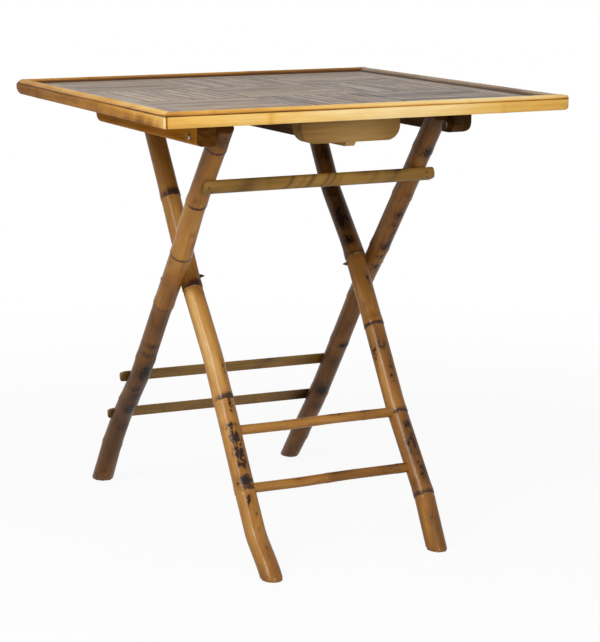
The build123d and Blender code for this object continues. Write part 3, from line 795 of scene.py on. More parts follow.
# %% Make the legs
LEG_SEED = 1
LEG_PAST_HINGE = 20 * MM
FOOT_WASTE = 30 * MM
SEAT_GAP = 0.3 * MM
for seed, side in enumerate(("left", "right")):
    for kind, way in (("outer", outer_way), ("inner", inner_way)):
        key = f"{side}_{kind}"
        foot = pivot - way * (pivot.z / way.z)
        foot.x = middle(key + "_leg").x
        length = (hinge.z / way.z + LEG_PAST_HINGE) if kind == "outer" else board_under / way.z
        cane = Cane(foot, way, length, leg_radius, BENDS[key], SWELLS[key], NODES[key], NODE_RING)
        bm = cane.grow(-FOOT_WASTE, length if kind == "outer" else length + FOOT_WASTE)
        if kind == "outer":
            for batten in battens.values():
                batten.press(bm)
            round_top(bm, cane)
        else:
            cut_flat(bm, (0, 0, board_under - SEAT_GAP), (0, 0, 1))
        round_foot(bm)
        paint_cane(bm, cane, LEG_SEED + seed * 2 + (kind == "inner"), **LEG_MARKS[key])
        leg = as_piece(key + "_cane", bm, f"{kind}_frame", cane_skin, [key + "_leg"])
        print(leg.name, len(leg.data.polygons), "faces")

# %% [markdown]
# ## Round rungs
# The two rungs between the inner legs are thin canes. They are the same shape as a leg, only slimmer and
# almost straight, so they are grown the same way, on a line along X.

# %% Make the round rungs
RUNG_MARKS = {
    "upper_round_rung": ([0.30, 0.78], [(0, 0.32), (0.5, 0.4), (1, 0.48)],
                         [(0.45, 100, 30, 40, 0.5), (0.62, 110, 20, 40, 0.55), (0.8, 100, 20, 50, 0.6)]),
    "lower_round_rung": ([0.46, 0.9], [(0, 0.4), (0.45, 0.44), (0.5, 0.62), (1, 0.54)],
                         [(0.54, 60, 24, 70, 0.6), (0.86, 100, 30, 60, 0.55), (0.3, 110, 12, 40, 0.5)]),
}
RUNG_WANDER = [(0, 0.4), (0.3, -0.6), (0.6, 0.7), (1, -0.3)]
RUNG_INSET = 0.3 * MM
RUNG_RIDGE = 0.45 * MM
RUNG_BAND = (0.5, 1.5, 3, *ALL_ROUND)
RUNG_SEED = 11
EVEN = [(0, 1), (1, 1)]
for seed, (node, (nodes, tone, patches)) in enumerate(RUNG_MARKS.items()):
    low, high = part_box(node)
    start = Vector((low.x, middle(node).y, middle(node).z))
    radius = (high.z - low.z) / 2 - RUNG_INSET
    rung = Cane(start, Vector((1, 0, 0)), high.x - low.x, radius, RUNG_WANDER, EVEN, nodes, RUNG_RIDGE)
    bm = rung.grow(0, rung.length)
    close_ends(bm)
    paint_cane(bm, rung, RUNG_SEED + seed, tone, [RUNG_BAND] * len(nodes), patches)
    piece = as_piece(node + "_cane", bm, "inner_frame", cane_skin, [node])
    print(piece.name, len(piece.data.polygons), "faces")

# %% [markdown]
# ## Split strips
# A thick cane split in two gives the half-round strips of the tray's rim and the battens across the legs.
# Their section is a flat back, two low sides and a round crown. The crown is a vertex that is spun round
# the arc's own centre. The section is then drawn out along the strip, as the canes were.

# %% Strip sections
CROWN_STEPS = 12
# Share of the width, share of the height and painted shade of the rim's low strip, from the seam up to the
# crown
RIM_SHOULDER = [(0, 0, 0.6), (0, 0.30, 0.3), (0.02, 0.40, 0.08), (0.16, 0.44, 0.02), (0.19, 0.34, 0.12),
                (0.23, 0.34, 0.12), (0.255, 0.50, 0)]
GROOVE = 4


def arc_radius(chord, rise):
    return (chord * chord / 4 + rise * rise) / (2 * rise)


def spin_crown(bm, start, width, height):
    """Spin a vertex over a round crown; gives back the vertex at the far side."""
    chord = width - 2 * start.co.y
    radius = arc_radius(chord, height - start.co.z)
    sweep = 2 * math.asin(chord / 2 / radius)
    spun = bmesh.ops.spin(bm, geom=[start], cent=(0, width / 2, height - radius), axis=(1, 0, 0),
                          angle=-sweep, steps=CROWN_STEPS)
    return only(spun["geom_last"], bmesh.types.BMVert)[0]


def split_section(bm, width, height, side):
    """A loop of edges in YZ: flat at zero height from 0 to the width, with a round crown."""
    near, far = (bm.verts.new((0, across, 0)) for across in (0, width))
    shoulder = bm.verts.new((0, 0, side))
    bm.edges.new((far, near))
    bm.edges.new((near, shoulder))
    last = spin_crown(bm, shoulder, width, height)
    bm.edges.new((last, far))
    return bm.edges[:]


def rim_section(bm, width, height, grime, groove, inner_shade):
    """A loop of edges in YZ: a half-round strip between two low ones, with painted shade in the seams and a
    darker groove.
    """
    values = layers(bm)[1]
    near = [bm.verts.new((0, across * width, up * height)) for across, up, shade in RIM_SHOULDER]
    far = [bm.verts.new((0, width - across * width, up * height)) for across, up, shade in RIM_SHOULDER[:-1]]
    # Painted shade: a dark band at the seam under each low strip and a darker tone on them, more on the
    # inner one; the groove is darkened too
    for verts, extra in ((near, 0), (far, inner_shade)):
        for index, (vert, (across, up, shade)) in enumerate(zip(verts, RIM_SHOULDER)):
            vert[values["band"]] = grime if index == 0 else groove if index >= GROOVE else 0
            vert[values["tone"]] = shade + extra
        for first, second in zip(verts, verts[1:]):
            bm.edges.new((first, second))
    last = spin_crown(bm, near[-1], width, height)
    for vert in set(bm.verts) - set(near + far + [last]):
        vert[values["band"]] = 0
        vert[values["tone"]] = 0
    last[values["band"]] = groove
    last[values["tone"]] = inner_shade
    bm.edges.new((last, far[-1]))
    bm.edges.new((far[0], near[0]))
    return bm.edges[:]


def flat_section(bm, width, low, high, rounding):
    """A loop of edges in YZ: a rectangle from 0 to the width with rounded corners."""
    corners = [(0, low), (width, low), (width, high), (0, high)]
    verts = [bm.verts.new((0, across, up)) for across, up in corners]
    bm.faces.new(verts)
    bmesh.ops.bevel(bm, geom=verts, offset=rounding, offset_type="OFFSET", segments=3, profile=0.5,
                    affect="VERTICES", material=-1)
    bmesh.ops.delete(bm, geom=bm.faces[:], context="FACES_ONLY")
    return bm.edges[:]


print("strip sections ready")

# %% Drawing a strip out
STRIP_STEPS = 60
CORNER_STEPS = [step * MM for step in (4, 4.8, 5.6, 6.4, 7.2, 8.4)]
WANDER_WAVE = 19
# The ridge and the swelling of a strip's node: share of the full size, millimetres past the node, width
STRIP_NODE = [(1, 0, 2.2), (0.7, -4, 9)]


def strip_places(half, nodes):
    """Steps along a strip: even ones, short ones at the nodes and a few for the rounded corners."""
    even = [-half + step * 2 * half / STRIP_STEPS for step in range(STRIP_STEPS + 1)]
    chosen = [place for place in even if all(abs(place - node) > NODE_REACH for node in nodes)]
    for node in nodes:
        chosen += [node + step for step in NODE_STEPS]
    for step in CORNER_STEPS:
        chosen += [step - half, half - step]
    return sorted(chosen)


def strip_swell(place, nodes, ridge):
    """The share of its full size that a strip has: all of it at a node's ridge, less between the nodes."""
    gaps = [(place - node) / MM for node in nodes]
    full = max([share * bell(gap - past, width) for gap in gaps for share, past, width in STRIP_NODE] + [0])
    return 1 - ridge * (1 - full)


def draw_strip(bm, edges, length, centre, nodes, ridge, wander):
    """Draw a section out to both sides of zero; it is fullest at its growth nodes and wanders a little."""
    places = strip_places(length / 2, nodes)
    bmesh.ops.scale(bm, vec=(1, *[strip_swell(places[0], nodes, ridge)] * 2), verts=bm.verts[:],
                    space=Matrix.Translation(-centre))
    waves = [wander * (1 + math.sin(place * WANDER_WAVE)) for place in places]
    middles = [centre + Vector((place, wave, 0)) for place, wave in zip(places, waves)]
    bmesh.ops.translate(bm, vec=middles[0] - centre, verts=bm.verts[:])
    for index, (here, there) in enumerate(zip(places, places[1:])):
        change = strip_swell(there, nodes, ridge) / strip_swell(here, nodes, ridge)
        move = middles[index + 1] - middles[index]
        edges = pull(bm, edges, middles[index], move, Vector((1, change, change)))
    close_ends(bm)


print("strips can be drawn out")

# %% [markdown]
# ## Painting a strip
# The strips of the tray and the battens are darker at their nodes and stained here and there. The stripes
# and stains lean, so they are measured along a slanted line. They are painted on the vertices, as on the
# canes. A rim strip keeps the painted shade in its seams, which its section already carries.

# %% Strip paint
STRIPE_SLANT = -0.65
STRIP_SHIFT = (0.41, 0.29, 0.83)
NODE_WIDTH = 5
NODE_STAIN = 0.05
STAIN_SPECKS = 0.3


def in_metres(marks):
    """Marks whose first number, a place in millimetres, is turned into metres."""
    return [(spot * MM, *size) for spot, *size in marks]


def paint_strip(bm, seed, tone, nodes, band, patches, half, stripes=()):
    """Grain along X, a tone from end to end, bands at the nodes, slanted stripes and scorched patches.

    A patch is (place, half length, strength, reach up from the lowest edge) and a stripe is (place, half
    length, strength). Places are in metres, and the other lengths are in millimetres.
    """
    grain, values = layers(bm)
    shift = grain_start(seed, STRIP_SHIFT)
    lowest = min(vert.co.z for vert in bm.verts)
    for vert in bm.verts:
        place, up = vert.co.x, (vert.co.z - lowest) / MM
        vert[grain] = shift + Vector((vert.co.y, vert.co.z, place))
        near = max([bell((place - node) / MM, NODE_WIDTH) for node in nodes] + [0])
        slanted = place + STRIPE_SLANT * vert.co.y
        strokes = [strength * bell((slanted - spot) / MM, length) for spot, length, strength in stripes]
        stains = [strength * bell((slanted - spot) / MM, length) * bell(up, reach)
                  for spot, length, strength, reach in patches]
        stain = max(stains + [0])
        # A rim's section already carries painted shade in its tone and band; it is kept here
        own = along(tone, (place + half) / (2 * half)) + vert[values["tone"]]
        vert[values["tone"]] = own + stain + max(strokes + [NODE_STAIN * near])
        vert[values["band"]] = max(band * near, vert[values["band"]])
        vert[values["scorch"]] = STAIN_SPECKS * stain


print("strip paint ready")

# %% [markdown]
# ## The tray's rim and edge
# Four half-round strips lie on the tray as its lip, and four flat strips hide the edge of the board. All
# are mitred at the corners. A strip is drawn out along X with a little to spare, painted while it is
# straight, sawn at 45 degrees at both ends and only then turned to its side of the tray. Beside the rim's
# crown lies a low strip on either side, with painted shade in the seams. Towards the corners the outer
# one is filled up to the crown, and the corners are sanded round.

# %% Saw, fill and sand the corners
CORNER_FLATS = [(11, 0), (22, 0), (34, 0), (45, 0), (22, 30), (45, 30), (22, 60), (45, 60)]
CORNER_FILL = (26 * MM, 12 * MM)
FILL_ACROSS = 0.5
FILL_FROM = 0.2
FILL_FALL = 0.4
tray_middle = middle("tray_board")
tray_low, tray_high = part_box("front_rim_strip")
rim_height = tray_high.z - tray_low.z
seam = tray_low.z
rim_width = tray_high.y - tray_low.y


def mitre(bm, half):
    """Saw both ends at 45 degrees, longest at the outside."""
    for way in (-1, 1):
        cut_flat(bm, (way * half, 0, 0), Vector((way, 1, 0)).normalized())


def round_corner(bm, way, half, radius, height, rise):
    """Sand the outer corner at one end round with a few flats, and its upper or lower tip as well."""
    centre = Vector((way * (half - radius), radius, height - rise * radius))
    for turn, lean in CORNER_FLATS:
        turn, lean = math.radians(turn), math.radians(lean) * rise
        flat = math.cos(lean)
        facing = Vector((way * math.sin(turn) * flat, -math.cos(turn) * flat, math.sin(lean)))
        cut_flat(bm, centre + facing * radius, facing)


def fill_corners(bm, half):
    """Raise the low outer strip of the rim to the height of its crown towards both ends."""
    values = layers(bm)[1]
    start, full = CORNER_FILL
    for vert in bm.verts:
        share = min(max((abs(vert.co.x) - half + start) / (start - full), 0), 1)
        out = 1 - min(vert.co.y / rim_width, FILL_ACROSS) / FILL_ACROSS
        height = (vert.co.z - seam) / rim_height
        if share > 0 and out > 0 and height > FILL_FROM:
            raised = max(height, 1 - FILL_FALL * out ** 3)
            vert.co.z = seam + rim_height * (height + (raised - height) * share)
            # The painted shade of the seams fades out where the low strip is filled
            for name in ("band", "tone"):
                vert[values[name]] *= 1 - share


def to_side(bm, turn, reach):
    """Turn a strip that was made along X to its own side of the tray."""
    spin = Matrix.Rotation(math.radians(turn), 4, "Z")
    place = Matrix.Translation((tray_middle.x, tray_middle.y, 0)) @ spin
    bmesh.ops.transform(bm, matrix=place @ Matrix.Translation((0, -reach, 0)), verts=bm.verts[:])


print("rim", round(rim_width / MM, 1), "mm wide and", round(rim_height / MM, 1), "mm high")

# %% Rim and edge strips
MITRE_GAP = 0.2 * MM
SPARE = 3 * MM
STRIP_SEED = 20
RIM_RIDGE, EDGE_RIDGE = 0.04, 0.03
RIM_WANDER = 0.4 * MM
EDGE_ROUND = 1.5 * MM
NODE_BAND = {"rim": 0.3, "edge": 0.05}
EASING = {"rim": 0.6 * MM, "edge": 1.2 * MM}
edge_low, edge_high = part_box("front_edge_strip")
edge_width = edge_high.y - edge_low.y
tray_half_x = tray_high.x
tray_half_y = tray_middle.y - tray_low.y
# A side's seams are the painted shade at the rim's seams, the darkening of its groove and the painted shade
# along its inner low strip
TRAY_SIDES = {
    "front": {"turn": 0, "corners": (2.5, 6), "seams": (0.62, 0.2, 0.1),
              # The front rim is paler from its middle to its right end: a painted sheen on its crown
              "rim": [(0, 0.42), (0.3, 0.36), (0.45, 0.14), (0.7, 0.04), (1, 0.14)],
              "rim_nodes": [155, -250],
              "edge": [(0, 0.3), (0.01, 0.28), (0.3, 0.18), (0.5, 0), (0.8, 0.2), (1, 0.32)],
              "edge_nodes": [-167, 210], "edge_patches": [(-167, 7, 0.06, 60)],
              "edge_lines": [(-322.4, 0.8, 0.8)]},
    "right": {"turn": 90, "corners": (6, 8), "seams": (0.62, 0.4, 0.36),
              "rim": [(0, 0.42), (1, 0.46)], "rim_nodes": [-156, 120], "rim_patches": [(-200, 30, 0.3, 60)],
              "edge": [(0, 0.3), (1, 0.4)], "edge_nodes": [-60, 200],
              "edge_patches": [(-200, 30, 0.3, 60)]},
    "back": {"turn": 180, "corners": (8, 12), "seams": (0.6, 0.5, 0.3),
             "rim": [(0, 0.69), (1, 0.56)], "rim_nodes": [-90, 200],
             "edge": [(0, 0.3), (1, 0.4)], "edge_nodes": [40, -230], "edge_patches": [(90, 40, 0.4, 8)]},
    "left": {"turn": 270, "corners": (12, 2.5), "seams": (0.66, 0.3, 0.1),
             "rim": [(0, 0.46), (0.7, 0.34), (1, 0.22)], "rim_nodes": [188, -120],
             "rim_patches": [(188, 12, 0.45, 2.6), (225, 20, 0.3, 2), (260, 24, 0.35, 2)],
             "edge": [(0, 0.78), (0.5, 0.66), (0.85, 0.4), (0.95, 0.27), (0.989, 0.27), (0.992, -0.1),
                      (1, -0.1)],
             "edge_nodes": [60, -210],
             "edge_patches": [(298, 10, 0.36, 4), (266, 20, 0.5, 5), (230, 24, 0.55, 6), (184, 24, 0.36, 5),
                              (130, 36, 0.2, 7), (60, 40, 0.2, 8)]},
}
for seed, (side, look) in enumerate(TRAY_SIDES.items()):
    across = side in ("left", "right")
    half, reach = (tray_half_y, tray_half_x) if across else (tray_half_x, tray_half_y)
    for kind in ("rim", "edge"):
        bm = bmesh.new()
        nodes = [place * MM for place in look[kind + "_nodes"]]
        if kind == "rim":
            section = rim_section(bm, rim_width, rim_height, *look["seams"])
            bmesh.ops.translate(bm, vec=(0, 0, seam), verts=bm.verts[:])
            centre = Vector((0, rim_width / 2, seam))
            draw_strip(bm, section, 2 * (half + SPARE), centre, nodes, RIM_RIDGE, RIM_WANDER)
            fill_corners(bm, half)
        else:
            section = flat_section(bm, edge_width, edge_low.z, edge_high.z, EDGE_ROUND)
            centre = Vector((0, edge_width, (edge_low.z + edge_high.z) / 2))
            draw_strip(bm, section, 2 * (half + SPARE), centre, nodes, EDGE_RIDGE, 0)
        patches, lines = (in_metres(look.get(f"{kind}_{mark}", [])) for mark in ("patches", "lines"))
        grain_seed = STRIP_SEED + seed * 2 + (kind == "edge")
        paint_strip(bm, grain_seed, look[kind], nodes, NODE_BAND[kind], patches, half, lines)
        mitre(bm, half - MITRE_GAP / 2)
        tip, rise = (tray_high.z, 1) if kind == "rim" else (edge_low.z, -1)
        for way, radius in zip((-1, 1), look["corners"]):
            round_corner(bm, way, half, radius * MM, tip, rise)
        to_side(bm, look["turn"], reach)
        skin = edge_skin if kind == "edge" else painted_sheen_rim_skin if side == "right" else rim_skin
        name, strip = f"{side}_{kind}_bamboo", f"{side}_{kind}_strip"
        piece = as_piece(name, bm, "tray", skin, [strip])
        soften(piece, EASING[kind])
        print(piece.name, len(piece.data.polygons), "faces")

# %% [markdown]
# ## The slats
# The tray's surface is a parquet: squares of narrow slats whose direction changes from square to square,
# inside a border of plain slats. A slat is a cube, drawn to its size, with its two long upper edges rounded
# by a bevel. Each has its own tone, and the whole lot of one direction is one piece.

# %% Make the parquet
TILES = 3
SLATS_PER_TILE = 10
SLAT_GAP = 1.6 * MM
SLAT_ROUND = 1.5 * MM
SLAT_SINK = 0.25
SLAT_TONES = (0.14, 0.66)
SLAT_SHIFT = (0.31, 0.17, 0.59)
GRAIN_SPREAD = 40
slat_low, slat_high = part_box("crosswise_slats")
parquet = slat_high.x - slat_low.x + SLAT_GAP
tile = parquet / TILES
pitch = tile / SLATS_PER_TILE
# How much lighter a square is, by its column and row
LIGHTER = {(0, 0): 0.16, (0, 1): 0.14, (1, 0): -0.13, (2, 0): -0.16, (2, 1): -0.16}
rng = random.Random(7)


def add_slat(bm, low, high, lengthwise, tone, seed):
    """One slat between two corners, with rounded upper edges, its own grain and painted shade on its sides.
    """
    before = set(bm.verts)
    size = high - low
    place = Matrix.Translation((low + high) / 2) @ Matrix.Diagonal((*size, 1))
    verts = bmesh.ops.create_cube(bm, size=1, matrix=place)["verts"]
    run = 1 if lengthwise else 0
    edges = {edge for vert in verts for edge in vert.link_edges}
    top = [edge for edge in edges if all(vert.co.z > (low.z + high.z) / 2 for vert in edge.verts)
           and abs((edge.verts[0].co - edge.verts[1].co)[run]) > size[run] / 2]
    bmesh.ops.bevel(bm, geom=top, offset=SLAT_ROUND, offset_type="OFFSET", segments=3, profile=0.5,
                    affect="EDGES", material=-1, clamp_overlap=True)
    grain, values = layers(bm)
    shift = grain_start(seed, SLAT_SHIFT)
    for vert in bm.verts:
        if vert in before:
            continue
        x, y, z = vert.co
        vert[grain] = shift + (Vector((x, z, y)) if lengthwise else Vector((y, z, x)))
        vert[values["tone"]] = tone
        # The sides below the rounding are painted dark: painted shade in the gaps between the slats
        vert[values["band"]] = 1.0 if z < high.z - SLAT_ROUND / 2 else 0.0


slat_sets = {"crosswise_slats": bmesh.new(), "lengthwise_slats": bmesh.new()}
for bm in slat_sets.values():
    layers(bm)
for column in range(TILES):
    for row in range(TILES):
        lengthwise = (column + row) % 2 == 1
        bm = slat_sets["lengthwise_slats" if lengthwise else "crosswise_slats"]
        corner = Vector((slat_low.x + column * tile, slat_low.y + row * tile, slat_low.z))
        for index in range(SLATS_PER_TILE):
            step = Vector((index * pitch, 0, 0)) if lengthwise else Vector((0, index * pitch, 0))
            size = Vector((pitch, tile, 0)) if lengthwise else Vector((tile, pitch, 0))
            sink = rng.uniform(0, SLAT_SINK) * MM
            high = corner + step + size - Vector((SLAT_GAP, SLAT_GAP, 0))
            high.z = slat_high.z - sink
            tone = rng.uniform(*SLAT_TONES) - LIGHTER.get((column, row), 0)
            add_slat(bm, corner + step, high, lengthwise, tone, rng.random() * GRAIN_SPREAD)
for node, bm in slat_sets.items():
    piece = as_piece(node.replace("_slats", "_bamboo_slats"), bm, "tray", slat_skin, [node])
    print(piece.name, len(piece.data.polygons), "faces")

# %% [markdown]
# ## The border slats
# Four plain slats run round the parquet and are mitred at its corners. They are flat strips, so they are
# drawn out, sawn and turned to their sides like the edge strips, and then gathered into one piece.

# %% Make the border slats
BORDER_ROUND = 0.7 * MM
BORDER_TONE = [(0, 0.42), (0.5, 0.3), (1, 0.45)]
BORDER_SEED = 40
border_low, border_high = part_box("border_slats")
border_width = border_high.x - slat_high.x - SLAT_GAP
half = border_high.x
border = []
for seed, look in enumerate(TRAY_SIDES.values()):
    bm = bmesh.new()
    section = flat_section(bm, border_width, border_low.z, border_high.z, BORDER_ROUND)
    draw_strip(bm, section, 2 * (half + SPARE), Vector((0, border_width / 2, border_low.z)), [], 0, 0)
    paint_strip(bm, BORDER_SEED + seed, BORDER_TONE, [], 0, [], half)
    mitre(bm, half - MITRE_GAP / 2)
    to_side(bm, look["turn"], half)
    border.append(bm)
piece = as_piece("border_bamboo_slats", merged(border), "tray", slat_skin, ["border_slats"])
print(piece.name, len(piece.data.polygons), "faces, width", round(border_width / MM, 2), "mm")

# %% [markdown]
# ## The battens across the legs
# The upper rung and the two back battens are split canes with rounded ends. The strip is drawn out as the
# rim was, but its last steps narrow along a quarter round, so its ends are round in plan.

# %% Make the battens
END_ROUND = 7 * MM
END_STEPS = 5
BATTEN_STEPS = [place * MM for place in range(-160, 161, 2)]
BATTEN_SIDE = 2 * MM
BATTEN_BAND = 0.3
BATTEN_EASING = 0.5 * MM
BATTEN_SEED = 60


def end_narrowing(width, gap):
    """The share of the width that is left at a gap from the very end."""
    if gap >= END_ROUND:
        return 1.0
    taken = END_ROUND - math.sqrt(max(END_ROUND ** 2 - (END_ROUND - gap) ** 2, 0))
    return 1 - 2 * taken / width


# Tone from end to end, growth nodes, scorched patches and slanted strokes
BATTEN_LOOKS = {
    "upper_rung": ([(0, 0.5), (0.15, 0.46), (0.3, 0.36), (0.6, 0.34), (0.75, 0.44), (1, 0.46)], [-90, 110],
                   [(-130, 14, 0.2, 60), (64, 14, 0.4, 5), (118, 16, 0.4, 5)],
                   [(-59, 3, 0.42), (-39, 2.4, 0.22), (-24, 3.4, 0.46), (2, 3, 0.4), (13, 2.4, 0.42),
                    (24, 4, 0.16), (84, 5, 0.16), (120, 6, 0.2)]),
    "upper_back_batten": ([(0, 0.62), (0.06, 0.54), (0.08, 0.48), (1, 0.48)], [-30, 150],
                          [(60, 10, 0.3, 60)], []),
    "lower_back_batten": ([(0, 0.8), (0.05, 0.72), (0.08, 0.46), (0.7, 0.54), (0.85, 0.74), (1, 0.8)],
                          [-100, 70], [(180, 20, 0.4, 60)], []),
}
for seed, (name, batten) in enumerate(battens.items()):
    tone, nodes, patches, strokes = BATTEN_LOOKS[name]
    half = (batten.right - batten.left) / 2
    bm = bmesh.new()
    edges = split_section(bm, batten.width, batten.thick, BATTEN_SIDE)
    bmesh.ops.translate(bm, vec=(-half, -batten.width / 2, 0), verts=bm.verts[:])
    rounds = [END_ROUND * (1 - math.cos(math.pi / 2 * step / END_STEPS)) for step in range(END_STEPS + 1)]
    places = [gap - half for gap in rounds] + BATTEN_STEPS + [half - gap for gap in reversed(rounds)]
    bmesh.ops.scale(bm, vec=(1, end_narrowing(batten.width, 0), 1), verts=bm.verts[:])
    for here, there in zip(places, places[1:]):
        first, second = (end_narrowing(batten.width, half - abs(place)) for place in (here, there))
        step = Vector((there - here, 0, 0))
        edges = pull(bm, edges, Vector((here, 0, 0)), step, Vector((1, second / first, 1)))
    close_ends(bm)
    nodes = [place * MM for place in nodes]
    patches, strokes = in_metres(patches), in_metres(strokes)
    paint_strip(bm, BATTEN_SEED + seed, tone, nodes, BATTEN_BAND, patches, half, strokes)
    turn = Matrix((batten.along, batten.up, batten.out)).transposed().to_4x4()
    centre = batten.middle + batten.along * ((batten.left + batten.right) / 2)
    bmesh.ops.transform(bm, matrix=Matrix.Translation(centre) @ turn, verts=bm.verts[:])
    piece = as_piece(name + "_bamboo", bm, "outer_frame", batten_skin, [name])
    soften(piece, BATTEN_EASING)
    print(piece.name, len(piece.data.polygons), "faces")

# %% [markdown]
# ## Bars under the tray
# The cleats, the cross block, the rail, the stop and the board already have their real shape in the frame,
# with screw holes and sockets. A copy of each is merged, its flat faces are joined again, and a bevel
# eases its sawn edges. Only the copy is changed: the frame's own mesh is left alone. The right cleat has a
# rounder nose in the photograph, so a row of flat cuts rounds its lower front edge.

# %% Ease the bars
END_GRAIN = 2.5 * MM
BAR_CUTS = 12
BAR_SHIFT = 0.13
NOSE_TURNS = range(9, 90, 9)
MERGE_GAP = 0.002 * MM
FLAT_ANGLE = math.radians(1)


def eased_copy(node, run, slot, material, tone, end_tone, easing, nose):
    """A copy of a frame node with eased edges, grain along its run and a tone from end to end."""
    bm = bmesh.new()
    bm.from_mesh(frame["nodes"][node].data)
    bmesh.ops.remove_doubles(bm, verts=bm.verts[:], dist=MERGE_GAP)
    bmesh.ops.dissolve_limit(bm, angle_limit=FLAT_ANGLE, verts=bm.verts[:], edges=bm.edges[:])
    grain, values = layers(bm)
    order = {"x": (1, 2, 0), "y": (0, 2, 1)}[run]
    low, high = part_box(node)
    for turn in NOSE_TURNS if nose else ():
        facing = Vector((0, -math.cos(math.radians(turn)), -math.sin(math.radians(turn))))
        cut_flat(bm, low + Vector((0, nose, nose)) + facing * nose, facing)
    way = Vector((run == "x", run == "y", 0))
    cuts = [low + (high - low) * step / BAR_CUTS for step in range(1, BAR_CUTS)]
    for point in (low + way * END_GRAIN, *cuts, high - way * END_GRAIN):
        bmesh.ops.bisect_plane(bm, geom=everything(bm), plane_co=point, plane_no=way)
    for vert in bm.verts:
        vert[grain] = Vector([vert.co[axis] for axis in order]) + Vector((len(node) * BAR_SHIFT,) * 3)
        gap, length = (vert.co - low).dot(way), (high - low).dot(way)
        at_end = min(gap, length - gap) < END_GRAIN / 2
        vert[values["tone"]] = end_tone if at_end else along(tone, gap / length)
    name = node + ("_panel" if node == "tray_board" else "_bar")
    piece = as_piece(name, bm, "tray", material, [node])
    return soften(piece, easing)


# Run of the grain, slot, finish, tone from end to end, tone of the ends, easing and nose in millimetres
BARS = {
    "left_cleat": ("y", "dark_wood", cleat_wood, [(0, 0.02), (0.3, 0.1), (1, 0.28)], 0.8, 1.0, 0),
    # The right cleat is dark all over: painted shade, as it lies in the shadow of the tray
    "right_cleat": ("y", "dark_wood", cleat_wood, [(0, 0.86), (1, 0.82)], 0.94, 1.0, 18),
    "cross_block": ("x", "pale_wood", block_wood,
                    [(0, 0.62), (0.2, 0.46), (0.5, 0.32), (0.7, 0.42), (0.9, 0.6), (1, 0.66)], 0.7, 1.2, 0),
    # The rail is painted pale at its front and at both end faces: painted light on its lit front end
    "centre_rail": ("y", "dark_wood", rail_wood, [(0, -0.2), (0.08, 0.45), (1, 0.45)], -0.2, 0.8, 0),
    "stop_batten": ("x", "dark_wood", rail_wood, [(0, 0.4), (1, 0.4)], 0.7, 0.8, 0),
    "tray_board": ("y", "tray_board", board_wood, [(0, 0.45), (1, 0.45)], 0.8, 0.5, 0),
}
for node, (*look, easing, nose) in BARS.items():
    bar = eased_copy(node, *look, easing * MM, nose * MM)
    print(bar.name, len(bar.data.polygons), "faces")

# %% [markdown]
# ## Bolts and pins
# The tray turns on a bolt through each cleat, and the legs cross on a long pin with its point left showing
# inside. Both are turned shapes: half a section is drawn with a few vertices and spun all the way round.

# %% Turn the bolts and pins
TURN_STEPS = 24
TURN_MERGE = 0.001 * MM
# Millimetres along and radius: a point is measured from its own end, and a head from the other end
BOLT_POINT = [(0, 0), (2, 2.4), (2.4, 3)]
BOLT_HEAD = [(-3, 3), (-3, 4.5), (-2.4, 4.7), (-1.1, 4.3), (-0.3, 3.4), (0, 2.5), (-0.4, 2.1), (-1.5, 1.9),
             (-1.5, 0)]
PIN_POINT = [(0, 0), (0.4, 0.35), (3.5, 1.7), (7, 2.95), (8, 3)]
PIN_HEAD = [(-1.5, 3), (-1.5, 3.6), (-1.2, 3.5), (-0.9, 2.6), (-0.8, 0)]
TURNED = {
    "hinge_screw": ("hinge_bolt", hinge, BOLT_POINT, BOLT_HEAD, bolt_steel),
    "pivot_pin": ("cross_pin", pivot, PIN_POINT, PIN_HEAD, nail_steel),
}


def turned(points, start, way):
    """Spin a half section of (distance along, radius) points round a line."""
    bm = bmesh.new()
    verts = [bm.verts.new((radius * MM, 0, place * MM)) for place, radius in points]
    for first, second in zip(verts, verts[1:]):
        bm.edges.new((first, second))
    bmesh.ops.spin(bm, geom=bm.verts[:] + bm.edges[:], cent=(0, 0, 0), axis=(0, 0, 1), angle=2 * math.pi,
                   steps=TURN_STEPS, use_merge=True)
    bmesh.ops.remove_doubles(bm, verts=bm.verts[:], dist=TURN_MERGE)
    turn = way.to_track_quat("Z", "Y").to_matrix().to_4x4()
    bmesh.ops.transform(bm, matrix=Matrix.Translation(start) @ turn, verts=bm.verts[:])
    return bm


for side, sign in (("left", -1), ("right", 1)):
    for kind, (name, axis, point, head, steel) in TURNED.items():
        low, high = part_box(f"{side}_{kind}")
        inner, outer = sorted((low.x, high.x), key=abs)
        length = (abs(outer) - abs(inner)) / MM
        section = point + [(length + place, radius) for place, radius in head]
        bm = turned(section, Vector((inner, axis.y, axis.z)), Vector((sign, 0, 0)))
        piece = as_piece(f"{side}_{name}", bm, "outer_frame", steel, [f"{side}_{kind}"])
        print(piece.name, round(length, 1), "mm long")

# %% [markdown]
# ## Nails of the upper rung
# Two small nails hold each end of the upper rung to its leg. Those at the right stand where the photograph
# shows them, and those at the left are guessed. Each is turned like a pin and set square on the crown.

# %% Make the rung's nails
NAIL_SPOTS = [(-180, 5), (-174, -3), (187.5, 9), (190, 0.5)]
NAIL_HEAD = [(-4, 0), (-4, 0.9), (-0.3, 0.9), (-0.3, 1.7), (0.1, 1.6), (0.3, 0.9), (0.35, 0)]
rung = battens["upper_rung"]
crown_radius = arc_radius(rung.width, rung.thick - BATTEN_SIDE)
nails = []
for place, up in NAIL_SPOTS:
    sunk = crown_radius - math.sqrt(crown_radius ** 2 - (up * MM) ** 2)
    spot = rung.middle + rung.along * (place * MM) + rung.up * (up * MM) + rung.out * (rung.thick - sunk)
    square_on = (rung.up * (up * MM) + rung.out * (crown_radius - sunk)).normalized()
    nails.append(turned(NAIL_HEAD, spot, square_on))
piece = as_piece("rung_nail_heads", merged(nails), "outer_frame", nail_steel, ["rung_nails"])
print(piece.name, len(piece.data.polygons), "faces")

